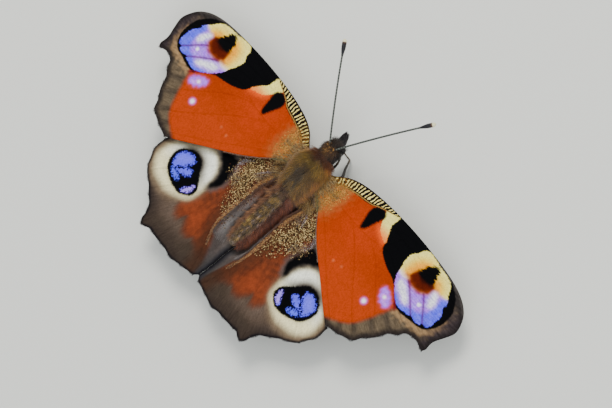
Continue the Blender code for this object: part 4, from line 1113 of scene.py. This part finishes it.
def skin_at(y, angle):
    """Points of the skin; the angle is 0 on the right side and a quarter turn on top."""
    wide, tall, middle = station_values(y)
    groove = np.zeros_like(y)
    for k in range(ABDOMEN_GROOVES):
        away = (y - ABDOMEN_FIRST_GROOVE + k * ABDOMEN_SEGMENT) / GROOVE_WIDTH
        groove = np.maximum(groove, GROOVE_DEPTH * np.exp(-away ** 2))
    return np.stack([(wide - groove) * np.cos(angle), y, middle + (tall - groove) * np.sin(angle)], axis=1)


def skin_normal(y, angle):
    reach = 0.03
    along = skin_at(y + reach, angle) - skin_at(y - reach, angle)
    around = skin_at(y, angle + reach) - skin_at(y, angle - reach)
    normal = np.cross(around, along)
    normal /= np.linalg.norm(normal, axis=1)[:, None]
    return -normal if np.mean(normal[:, 2] * np.sin(angle)) < 0 else normal


def body_uv(y, angle):
    """Places on the skin's own flat map."""
    along = (y - SKIN[0][0]) / (SKIN[-1][0] - SKIN[0][0])
    return np.stack([along, (angle / (2.0 * math.pi) + 0.25) % 1.0], axis=1)


def body_tint(y, angle, seed):
    """Colour of the hair and of the skin under it, from the tail to the brow, with a painted highlight on the
    golden sides and painted shade on the right flank.
    """
    at = np.stack([y * 1.3, angle * 2.0], axis=1)
    wave = ripple(at, 1.6, seed) * 0.6 + ripple(at, 4.2, seed + 1) * 0.55
    side = np.abs(np.cos(angle))
    top = np.sin(angle)
    tint = np.tile(rgb(122, 94, 50), (len(y), 1))
    tint = layered(
        tint,
        (rgb(172, 142, 66), 0.75 * (0.5 + 0.6 * wave).clip(0.0, 1.0)),
        (rgb(66, 54, 44), 0.75 * smoothstep(0.34, 0.10, side) * smoothstep(-3.5, -1.0, y)),
        (rgb(84, 88, 86), 0.6 * smoothstep(0.16, 0.05, np.abs(side - 0.25)) * smoothstep(0.5, -1.0, y)),
        # Golden hair on the sides, painted lighter as a highlight along both sides
        (rgb(190, 140, 78), 0.85 * smoothstep(0.55, 0.88, side)),
        (rgb(150, 124, 48), 0.6 * smoothstep(0.2, 1.2, y) * smoothstep(2.0, 1.4, y)),
        (rgb(104, 50, 28), 0.85 * smoothstep(1.8, 2.3, y) * smoothstep(3.4, 2.9, y)),
        (rgb(108, 74, 38), smoothstep(2.9, 3.3, y)),
        (rgb(34, 26, 32), 0.9 * smoothstep(2.9, 3.3, y) * smoothstep(0.5, 0.76, side)))
    back = smoothstep(-4.2, -5.2, y)
    fleck = ripple(at, 7.0, seed + 2)
    segment = np.cos((y - ABDOMEN_FIRST_GROOVE) / ABDOMEN_SEGMENT * 2.0 * math.pi)
    tint = layered(
        tint,
        (rgb(122, 98, 68), back),
        (rgb(196, 168, 84), back * 0.8 * (0.3 + 0.9 * wave).clip(0.0, 1.0) * smoothstep(0.8, 0.4, side)),
        (rgb(132, 122, 128), back * 0.8 * (0.9 * fleck - 0.1).clip(0.0, 1.0)),
        (rgb(62, 46, 38), back * 0.8 * (-0.9 * fleck - 0.2).clip(0.0, 1.0)),
        (rgb(86, 66, 58), back * 0.4 * smoothstep(0.2, 1.0, segment)),
        (rgb(96, 58, 38), 0.65 * smoothstep(-3.6, -4.6, y) * smoothstep(-6.2, -5.2, y)))
    # Painted light and shade on the abdomen's flanks: red-brown hair, painted darker on the right side and
    # lighter tan on the left
    flank = mix(rgb(158, 118, 88), rgb(128, 72, 50), smoothstep(-0.4, 0.4, np.cos(angle))[:, None])
    tint = blend(tint, flank, back * 0.9 * smoothstep(0.45, 0.75, side))
    tint = tint * (1.0 + 0.45 * back * fleck + 0.25 * smoothstep(-8.0, -12.0, y))[:, None]
    tint = blend(tint, rgb(168, 158, 138), 0.7 * smoothstep(-14.6, -15.6, y))
    return blend(tint, rgb(40, 31, 26), smoothstep(-0.1, -0.6, top))


def body_skin():
    """One closed skin from the tail to the brow."""
    count = round((SKIN[-1][0] - SKIN[0][0]) / SKIN_STEP)
    stops = np.linspace(SKIN[0][0], SKIN[-1][0], count + 1)
    angles = np.arange(SKIN_SIDES) / SKIN_SIDES * 2.0 * math.pi
    y, angle = np.repeat(stops, SKIN_SIDES), np.tile(angles, len(stops))
    points = skin_at(y, angle)
    faces = [(a, d, c, b) for a, b, c, d in ring_faces(count + 1, SKIN_SIDES)]
    faces.append(tuple(range(SKIN_SIDES)))
    faces.append(tuple(reversed(range(count * SKIN_SIDES, (count + 1) * SKIN_SIDES))))
    thing = place("body_skin", points, faces, [skin_material()])
    write_values(thing, "tint", body_tint(y, angle, TINT_SEED) * 0.45)
    write_values(thing, "skin_plan", points)
    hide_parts("thorax", "head", "abdomen")


def body_coat(name, span, count, length, width, lift, seed, outward=0.35, turns=(-0.5, 1.5), ahead=-1.0,
              shade=1.0):
    """Hair on a stretch of the body, between two angles in half turns; a negative ahead lies backwards."""
    rng = np.random.default_rng(seed)
    y = rng.uniform(*span, count * 3)
    wide, tall, _ = station_values(y)
    keep = rng.uniform(0.0, 2.4, count * 3) < (wide + tall) * 0.5
    y, wide = y[keep][:count], wide[keep][:count]
    angle = math.pi * rng.uniform(*turns, len(y))
    mirrored = rng.random(len(y)) < 0.5
    if turns[1] <= 0.5:
        angle = np.where(mirrored, math.pi - angle, angle)
    roots, normal = skin_at(y, angle), skin_normal(y, angle)
    side = np.cos(angle)
    # Locks: neighbours lean the same way
    locks = ripple(np.stack([y, angle * wide], axis=1), 4.0, seed + 100)
    lie = np.stack([outward * side, np.full(len(y), ahead), np.zeros(len(y))], axis=1)
    lie += rng.normal(0.0, 0.2, (len(y), 3)) + np.stack([locks, 0.0 * locks, 0.0 * locks], axis=1) * 0.4
    size = length * rng.uniform(0.6, 1.25, len(y)) * np.clip((wide + 0.5) / 1.4, 0.35, 1.0)
    tint = body_tint(y, angle, TINT_SEED) * rng.uniform(0.45, 1.35, (len(y), 1))
    tint = tint * (1.0 + 0.35 * locks[:, None]) * shade
    tint = np.where(rng.random((len(y), 1)) < 0.16, tint * (1.9, 1.7, 1.2), tint)
    tip = tint * rng.uniform(1.0, 1.7, (len(y), 1))
    uv = body_uv(y, angle)
    thing = coat(name, roots, lie, normal, size, width * rng.uniform(0.7, 1.3, len(y)), tint,
                 tip.clip(0.0, 0.9),
                 uv, lift * rng.uniform(0.5, 1.4, len(y)))
    return thing


def gold_dots():
    """Short thick gold tufts that stand between the eyes, in the brown hair of the head."""
    rng = np.random.default_rng(56)
    count = 44
    y = rng.uniform(3.0, 4.5, count)
    angle = math.pi * rng.uniform(0.26, 0.74, count)
    normal = skin_normal(y, angle)
    roots = skin_at(y, angle) + normal * 0.45
    lie = rng.normal(0.0, 0.4, (count, 3)) + (0.0, -0.6, 0.0)
    tint = rgb(206, 166, 84) * rng.uniform(0.3, 1.2, (count, 1))
    uv = body_uv(y, angle)
    thing = coat("head_gold", roots, lie, normal, rng.uniform(0.2, 0.36, count),
                 rng.uniform(0.09, 0.16, count), tint,
                 (tint * 1.2).clip(0.0, 0.9), uv, 0.8)


def scatter(shape, count, rng):
    """Random points inside a smooth closed shape of the plan."""
    edge = spline(shape, LINE_STEP, closed=True)
    found = rng.uniform(edge.min(0), edge.max(0), (count * 6, 2))
    return found[inside(found, edge)][:count]


def wing_coat(name, side, outline, height, at, lie, length, width, tint, lift, gain=1.2,
              above=SHEET_HALF, inset=0.0):
    """A coat on one side's wing from places and lies of the right one; the inset moves its roots in."""
    x, y = (at - inset).T
    roots = np.column_stack([x, y, height(x, y) + above])
    mirror = (side, 1.0, 1.0)
    low, high = outline.min(0), outline.max(0)
    thing = coat(name, roots * mirror, lie * mirror, normals_of(height, x, y) * mirror, length, width, tint,
                 (tint * gain).clip(0.0, 0.9), ((at - low) / (high - low)).clip(0.0, 1.0), lift, rings=2)


def fuzz_coat(name, slot, shape, outline, height, count, side, seed, direction, palette, shares, length,
              width):
    """Hair-scales on the wing near the body, lying outwards along it, in colours from dark to pale."""
    rng = np.random.default_rng(seed)
    at = scatter(shape, count, rng)
    at = at[rng.uniform(-1.4, 2.3, len(at)) < depth_in(at, shape)]
    dust = height is hindwing_height and length[1] < 0.5
    if dust:
        at = at[at[:, 0] > crest_x(at[:, 1]) * smoothstep(-4.6, -6.4, at[:, 1])]
    out = np.column_stack([at - direction, np.zeros(len(at))])
    out /= np.linalg.norm(out, axis=1)[:, None]
    lie = out + rng.normal(0.0, 0.55 if dust else 0.25, (len(at), 3))
    kind = rng.choice(len(palette), len(at), p=shares)
    tint = np.array(palette)[kind]
    if dust:
        from_fore, _ = distance_to(at, spline(FOREWING_TRAILING, LINE_STEP))
        tint = blend(tint, PALE_GREY, 0.95 * smoothstep(3.2, 1.4, from_fore) * (kind > 1))
        from_crest = at[:, 0] - crest_x(at[:, 1])
        tint = blend(tint, rgb(150, 92, 50), 0.6 * smoothstep(2.2, 0.4, from_crest) * (kind > 1))
    tint = tint * rng.uniform(0.75, 1.25, (len(at), 1))
    wing_coat(name, side, outline, height, at, lie, rng.uniform(*length, len(at)),
              rng.uniform(*width, len(at)) * (1.0 + 0.15 * (kind > 2)), tint,
              rng.uniform(0.10, 0.32, len(at)))


def crest_coat(side):
    """The row of gold hair-scales along the hindwing's raised fold."""
    rng = np.random.default_rng(71)
    count = 2400
    y = rng.uniform(-18.5, -4.7, count)
    at = np.column_stack([crest_x(y) + rng.normal(0.10, 0.14, count), y])
    lie = np.column_stack([rng.normal(0.1, 0.3, count), -np.ones(count), rng.normal(0.0, 0.2, count)])
    thin = 1.0 - 0.5 * smoothstep(-14.0, -18.5, y)
    palette = np.array([rgb(206, 160, 92), rgb(160, 108, 58), rgb(224, 196, 140), rgb(92, 60, 36)])
    tint = palette[rng.choice(4, count, p=(0.3, 0.25, 0.15, 0.3))]
    tint = blend(tint, rgb(134, 78, 46), 0.9 * (1.0 - thin))
    wing_coat("crest_hair_" + WORDS[side], side, hindwing_outline(), hindwing_height, at, lie,
              rng.uniform(0.2, 0.5, count) * thin, rng.uniform(0.04, 0.07, count) * thin, tint,
              rng.uniform(0.2, 0.5, count))


def gutter_coat(side):
    """Longer hair on the inner wall of the hindwing's fold, which leans in over the abdomen's flank."""
    rng = np.random.default_rng(72)
    count = 3200
    y = rng.uniform(-16.0, -4.3, count)
    x = crest_x(y) - 0.05 - 1.5 * rng.random(count) ** 1.3
    lie = rng.normal(0.0, 0.2, (count, 3)) + (-0.55, -1.0, 0.15)
    tint = np.tile(rgb(176, 124, 90), (count, 1))
    tint = blend(tint, rgb(164, 162, 160), 0.85 * smoothstep(-8.0, -12.0, y))
    tint = blend(tint, rgb(96, 66, 48), 0.8 * smoothstep(0.6, 0.15, crest_x(y) - x))
    tint = tint * rng.uniform(0.6, 1.3, (count, 1))
    wing_coat("gutter_hair_" + WORDS[side], side, hindwing_outline(), hindwing_height,
              np.column_stack([x, y]), lie, rng.uniform(0.6, 1.2, count), rng.uniform(0.03, 0.05, count),
              tint, rng.uniform(0.15, 0.4, count), gain=1.25)


def fringe(name, runs, height, outline, side, seed, length=0.35, colour=FRINGE_DARK, scalloped=0.0):
    """Short scales that stand out all along a margin, in two overlapping rows."""
    rng = np.random.default_rng(seed)
    line = np.vstack([spline(run, FRINGE_STEP) for run in runs])
    outward = -sideways(line)
    centre = outline.mean(0)
    if np.mean(np.sum(outward * (line - centre), axis=1)) < 0:
        outward = -outward
    out = np.vstack([outward, outward])
    count = len(out)
    lie = np.column_stack([out, np.zeros(count)]) + rng.normal(0.0, 0.08, (count, 3))
    tint = np.tile(colour, (count, 1)) * rng.uniform(0.5, 1.6, (count, 1))
    scallop = np.tile(1.0 - scalloped * np.abs(np.sin(run_along(line) * math.pi / SCALLOP)), 2)
    wing_coat(name, side, outline, height, np.vstack([line, line]), lie,
              length * scallop * rng.uniform(0.85, 1.15, count), np.full(count, FRINGE_WIDTH), tint, 0.05,
              above=np.repeat((FRINGE_APART, -FRINGE_APART), len(line)), inset=out * FRINGE_INSET)


def tube(name, path, radii, material, tint, sides=14, floor=None):
    """A tapered round rod along a smooth path; nothing of it goes below the floor."""
    along = np.gradient(path, axis=0)
    along /= np.linalg.norm(along, axis=1)[:, None]
    across = np.cross(along[0], (0.0, 0.0, 1.0) if abs(along[0][2]) < 0.9 else (1.0, 0.0, 0.0))
    points, plan, run = [], [], 0.0
    for k, (centre, direction) in enumerate(zip(path, along)):
        across = across - direction * (across @ direction)
        across /= np.linalg.norm(across)
        other = np.cross(direction, across)
        run += float(np.linalg.norm(centre - path[max(k - 1, 0)]))
        for j in range(sides):
            turn = 2.0 * math.pi * j / sides
            offset = math.cos(turn) * across + math.sin(turn) * other
            points.append(centre + radii[k] * offset)
            plan.append((offset[0] * radii[k], offset[2] * radii[k], run))
    points = np.array(points)
    if floor is not None:
        points[:, 2] = np.maximum(points[:, 2], floor)
    faces = ring_faces(len(path), sides)
    faces.append(tuple(reversed(range(sides))))
    faces.append(tuple(range((len(path) - 1) * sides, len(path) * sides)))
    thing = place(name, points, faces, [material])
    write_values(thing, "tint", np.repeat(tint, sides, axis=0))
    write_values(thing, "tube_plan", np.array(plan))
    return thing


def smooth_path(points, radii, step):
    """A smooth path through the points with a radius at each of its places and rounded ends."""
    path = spline(points, step)
    knots = run_along(np.array(points, float))
    run = run_along(path)
    radius = np.interp(run / run[-1], knots / knots[-1], radii)
    end = np.minimum(run, run[-1] - run)
    return path, radius * np.sqrt(np.clip(1.0 - (1.0 - end / radius).clip(0.0, 1.0) ** 2, 0.03, 1.0)), run


def make_antenna(word, sign):
    """A ringed shaft that thickens into a club with a pale tip."""
    root = np.array(ANTENNA_ROOT) * (sign, 1.0, 1.0)
    tip = np.array(ANTENNA_TIPS[word])
    length = float(np.linalg.norm(tip - root))
    t = np.linspace(0.0, 1.0, 320)
    path = root + (tip - root) * t[:, None]
    path[:, 2] += ANTENNA_RISE * 4.0 * t * (1.0 - t)
    run = t * length
    phase = (run / ANTENNA_SEGMENT) % 1.0
    radii = mix(ANTENNA_RADIUS, CLUB_RADIUS,
                smoothstep(length - 1.35 * CLUB_LENGTH, length - 0.5 * CLUB_LENGTH, run))
    radii = radii * (1.0 + 0.07 * np.sin(phase * math.pi) - 0.03)
    end = (length - run) / CLUB_RADIUS
    radii = radii * np.sqrt(np.clip(1.0 - (1.0 - end / 1.5).clip(0.0, 1.0) ** 2, 0.02, 1.0))
    tint = np.tile(rgb(56, 57, 54), (len(t), 1))
    tint = blend(tint, rgb(132, 138, 128), 0.9 * smoothstep(0.50, 0.62, phase))
    club = smoothstep(length - 1.3 * CLUB_LENGTH, length - CLUB_LENGTH, run)
    tint = layered(
        tint,
        (rgb(26, 24, 34), club),
        (rgb(92, 52, 40), smoothstep(length - 0.85, length - 0.6, run)),
        (rgb(240, 232, 206), smoothstep(length - 0.55, length - 0.42, run)))
    thing = tube("feeler_" + word, path, radii, HORN, tint, sides=16)
    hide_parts("antenna_" + word)


def make_eye(word, sign):
    """A finely faceted ball set in the side of the head."""
    points = []
    for i in range(EYE_ROWS + 1):
        lat = math.pi * (i / EYE_ROWS - 0.5)
        for j in range(EYE_COLUMNS):
            lon = 2.0 * math.pi * j / EYE_COLUMNS
            points.append((EYE_HALF[0] * math.sin(lat), EYE_HALF[1] * math.cos(lat) * math.cos(lon),
                           EYE_HALF[2] * math.cos(lat) * math.sin(lon)))
    points = np.array(points) + EYE_CENTRE
    points[:, 0] = np.maximum(points[:, 0], EYE_INNER_X)
    faces = ring_faces(EYE_ROWS + 1, EYE_COLUMNS)
    thing = place("eye_ball_" + word, points * (sign, 1.0, 1.0), faces, [EYE])
    write_values(thing, "eye_plan", points)
    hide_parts("eye_" + word)


def bristles(name, path, radii, count, length, width, tints, seed, forward, lift=0.5):
    """Scales and bristles all round a rod, lying towards its tip."""
    rng = np.random.default_rng(seed)
    along = np.gradient(path, axis=0)
    along /= np.linalg.norm(along, axis=1)[:, None]
    k = rng.integers(0, len(path) - 1, count)
    turn = rng.uniform(0.0, 2.0 * math.pi, count)
    direction = along[k]
    side = np.cross(direction, np.array([0.31, 0.17, 0.93]))
    side /= np.linalg.norm(side, axis=1)[:, None]
    other = np.cross(direction, side)
    normal = side * np.cos(turn)[:, None] + other * np.sin(turn)[:, None]
    roots = path[k] + normal * (radii[k] * 0.92)[:, None]
    lie = direction * forward + rng.normal(0.0, 0.2, (count, 3))
    palette = np.array(tints)
    tint = palette[rng.integers(0, len(palette), count)] * rng.uniform(0.7, 1.3, (count, 1))
    uv = np.stack([k / len(path), turn / (2.0 * math.pi)], axis=1)
    thing = coat(name, roots, lie, normal, length * rng.uniform(0.6, 1.2, count), np.full(count, width), tint,
                 (tint * 1.4).clip(0.0, 0.9), uv, lift * rng.uniform(0.5, 1.3, count), rings=2)
    return thing


def make_palp(word, sign):
    path, radii, _ = smooth_path([(sign * x, y, z) for x, y, z in PALP_PATH], PALP_RADII, 0.06)
    thing = tube("palp_skin_" + word, path, radii, HORN, np.tile(rgb(24, 20, 24), (len(path), 1)))
    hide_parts("palp_" + word)
    bristles("palp_bristles_" + word, path, radii, 1500, 0.62, 0.06,
             [rgb(16, 14, 18), rgb(26, 24, 32), rgb(70, 66, 72), rgb(56, 40, 28)], 81, 1.0, 0.34)


def make_leg(name, points, radii, floor=None):
    path, radius, run = smooth_path(points, radii, 0.07)
    length = run[-1]
    t = run / length
    pinch = np.ones(len(path))
    for joint in (0.14, 0.36, 0.66, 0.78, 0.85, 0.92):
        pinch -= 0.22 * np.exp(-((t - joint) * length / 0.10) ** 2)
    tint = np.tile(rgb(46, 36, 28), (len(path), 1))
    tint = blend(tint, rgb(112, 92, 66), 0.7 * smoothstep(0.6, 0.75, t))
    thing = tube(name + "_shell", path, radius * pinch, HORN, tint, floor=floor)
    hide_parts(name)
    bristles(name + "_bristles", path[6:-2], (radius * pinch)[6:-2], 420, 0.22, 0.045,
             [rgb(40, 30, 24), rgb(70, 54, 38), rgb(120, 100, 74)], 90, 1.0, 0.35)


def make_tongue():
    """The coiled tongue, ringed with fine ridges."""
    centre = np.array(TONGUE_CENTRE)
    points = [np.array(p) for p in TONGUE_STEM]
    steps = round(12 * TONGUE_TURNS)
    for k in range(steps + 1):
        turn = k / steps * TONGUE_TURNS
        radius = TONGUE_OUTER - TONGUE_PITCH * turn
        angle = TONGUE_START + turn * 2.0 * math.pi
        points.append(centre + (0.0, radius * math.cos(angle), radius * math.sin(angle)))
    radii = np.linspace(TONGUE_RADIUS, 0.6 * TONGUE_RADIUS, len(points))
    path, radius, run = smooth_path(points, radii, 0.05)
    radius = radius * (1.0 + 0.05 * np.sin(run * 2.0 * math.pi / 0.14))
    thing = tube("tongue_coil", path, radius, HORN, np.tile(rgb(56, 32, 20), (len(path), 1)), sides=12)
    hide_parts("tongue")


def make_wings():
    parts = {
        "forewing": (forewing_outline(), FOREWING_VEINS, forewing_height, forewing_paint, forewing_material(),
                     (2.0, 0.5)),
        "hindwing": (hindwing_outline(), HINDWING_VEINS, hindwing_height, hindwing_paint, hindwing_material(),
                     (2.0, -3.0)),
    }
    for kind, (outline, veins, height, paint, material, fan) in parts.items():
        for side, word in WORDS.items():
            thing = wing(f"{kind}_sheet_{word}", outline, veins, height, paint, material, side, fan)
            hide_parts(f"{kind}_{word}")
    for side, word in WORDS.items():
        fore = ("forewing", FOREWING_FUZZ, parts["forewing"][0], forewing_height)
        hind = ("hindwing", HINDWING_FUZZ, parts["hindwing"][0], hindwing_height)
        fuzz_coat("forewing_fuzz_" + word, *fore, 9500, side, 51, np.array([-2.0, 1.5]), GOLD_DUST,
                  (0.20, 0.26, 0.28, 0.20, 0.06), (0.20, 0.42), (0.020, 0.032))
        fuzz_coat("hindwing_fuzz_" + word, *hind, 24000, side, 52, np.array([0.0, 0.0]), BROWN_DUST,
                  (0.40, 0.22, 0.16, 0.13, 0.09), (0.10, 0.20), (0.028, 0.042))
        fuzz_coat("forewing_root_hair_" + word, "forewing", FOREWING_ROOT_HAIR, *fore[2:], 1100, side, 53,
                  np.array([-1.0, 1.2]), ROOT_HAIR, (0.15, 0.3, 0.35, 0.2), (0.7, 1.4), (0.03, 0.045))
        fuzz_coat("hindwing_root_hair_" + word, "hindwing", HINDWING_ROOT_HAIR, *hind[2:], 1600, side, 54,
                  np.array([-0.5, 0.5]), ROOT_HAIR, (0.3, 0.35, 0.25, 0.1), (0.8, 1.6), (0.03, 0.045))
        fringe("forewing_rear_fringe_" + word, [FOREWING_TRAILING[3:8]], forewing_height,
               parts["forewing"][0], side, 64, 0.42, FRINGE_PALE)
        fringe("forewing_root_fringe_" + word, [FOREWING_TRAILING[6:]], forewing_height,
               parts["forewing"][0], side, 65, 1.0, ROOT_HAIR[1])
        crest_coat(side)
        gutter_coat(side)
        fringe("forewing_fringe_" + word, [FOREWING_OUTER], forewing_height, parts["forewing"][0],
               side, 61, 0.52, scalloped=0.45)
        fringe("hindwing_fringe_" + word, [HINDWING_OUTER, HINDWING_REAR], hindwing_height,
               parts["hindwing"][0], side, 62, 0.48, scalloped=0.4)
        y = np.linspace(INNER_EDGE_ENDS[0], -14.0, 9)
        fringe("inner_fringe_" + word, [np.stack([inner_edge_x(y), y], axis=1)], hindwing_height,
               parts["hindwing"][0], side, 63, INNER_FRINGE)


def make_body():
    body_skin()
    body_coat("thorax_hair", (-3.4, 2.6), 8500, 1.5, 0.05, 0.45, 41)
    body_coat("shoulder_hair", (-3.6, 1.9), 3600, 2.1, 0.05, 0.34, 44, 1.6, (0.10, 0.38))
    body_coat("rump_hair", (-6.4, -3.0), 3200, 1.8, 0.05, 0.6, 45, 2.4, (0.0, 0.24), shade=1.5)
    body_coat("collar_hair", (0.9, 2.7), 3200, 1.35, 0.045, 1.0, 46, 0.3)
    body_coat("nape_hair", (2.4, 3.7), 2400, 1.2, 0.045, 1.25, 48, 0.3)
    body_coat("head_hair", (3.2, 4.85), 3200, 1.0, 0.04, 0.85, 42, 0.9)
    body_coat("brow_hair", (3.3, 4.75), 1100, 1.15, 0.04, 0.5, 47, 3.0, (0.12, 0.45), shade=0.6)
    body_coat("face_hair", (3.9, 4.9), 1800, 1.7, 0.045, 0.42, 49, 0.1, (-0.2, 0.5), 1.0, 0.25)
    gold_dots()
    body_coat("abdomen_hair", (-15.6, -4.2), 9500, 0.58, 0.06, 0.55, 43)
    body_coat("flank_hair", (-14.8, -3.2), 5600, 1.4, 0.05, 0.55, 50, 1.6, (-0.04, 0.23),
              shade=1.35)
    for word, sign in SIGNS.items():
        make_eye(word, sign)
        make_antenna(word, sign)
        make_palp(word, sign)
        make_leg("foreleg_" + word, [(sign * x, y, z) for x, y, z in FORELEG_PATH], FORELEG_RADII)
    for name, points in LEG_PATHS.items():
        make_leg(name, points, LEG_RADII, FLOOR)
    make_tongue()


def area_light(name, position, size, power, colour=(1.0, 1.0, 1.0)):
    lamp = bpy.data.lights.new(name, "AREA")
    lamp.size = size
    lamp.energy = power
    lamp.color = colour
    thing = bpy.data.objects.new(name, lamp)
    bpy.context.collection.objects.link(thing)
    thing.location = position
    thing.rotation_euler = (-Vector(position)).to_track_quat("-Z", "Y").to_euler()


def make_stage():
    """A plain pale floor under soft daylight from above."""
    mesh = bpy.data.meshes.new("floor")
    half = 3.0
    mesh.from_pydata([(-half, -half, 0.0), (half, -half, 0.0), (half, half, 0.0), (-half, half, 0.0)], [],
                     [(0, 1, 2, 3)])
    shader = Shader("floor", 0.9, 0.1)
    mesh.materials.append(shader.finish(rgb(226, 226, 222)))
    floor = bpy.data.objects.new("floor", mesh)
    bpy.context.collection.objects.link(floor)
    world = bpy.data.worlds.new("daylight")
    world.use_nodes = True
    world.node_tree.nodes["Background"].inputs[0].default_value = (0.92, 0.96, 1.0, 1.0)
    world.node_tree.nodes["Background"].inputs[1].default_value = 0.85
    bpy.context.scene.world = world
    area_light("key", (-0.18, 0.22, 0.42), 0.22, 1.9, (1.0, 0.98, 0.94))
    area_light("fill", (0.35, -0.2, 0.30), 0.35, 1.1, (0.94, 0.97, 1.0))


def make_camera():
    """The photo's view: above and to the right of the insect, with its head turned to the upper right."""
    back = Vector((VIEW_RIGHT, VIEW_FORWARD, math.sqrt(1.0 - VIEW_RIGHT ** 2 - VIEW_FORWARD ** 2)))
    level = (Vector((1.0, 0.0, 0.0)) - VIEW_RIGHT * back).normalized()
    steep = back.cross(level)
    right = math.cos(VIEW_ROLL) * level - math.sin(VIEW_ROLL) * steep
    up = math.sin(VIEW_ROLL) * level + math.cos(VIEW_ROLL) * steep
    eye = VIEW_DISTANCE * back - VIEW_ASIDE[0] * right - VIEW_ASIDE[1] * up
    camera = bpy.data.cameras.new("camera")
    camera.lens = VIEW_LENS
    camera.sensor_width = SENSOR
    camera.clip_start = 0.01
    camera.clip_end = 20.0
    thing = bpy.data.objects.new("camera", camera)
    bpy.context.collection.objects.link(thing)
    turn = Matrix((right, up, back)).transposed().to_4x4()
    thing.matrix_world = Matrix.Translation((eye + SHIFT) * MM) @ turn
    bpy.context.scene.camera = thing


WORDS = {1: "right", -1: "left"}
SIGNS = {"left": -1.0, "right": 1.0}
UNDERSIDE = underside_material()
COAT = coat_material()
HORN = horn_material("horn", 0.45)
EYE = eye_material()
make_wings()
make_body()
make_stage()
make_camera()
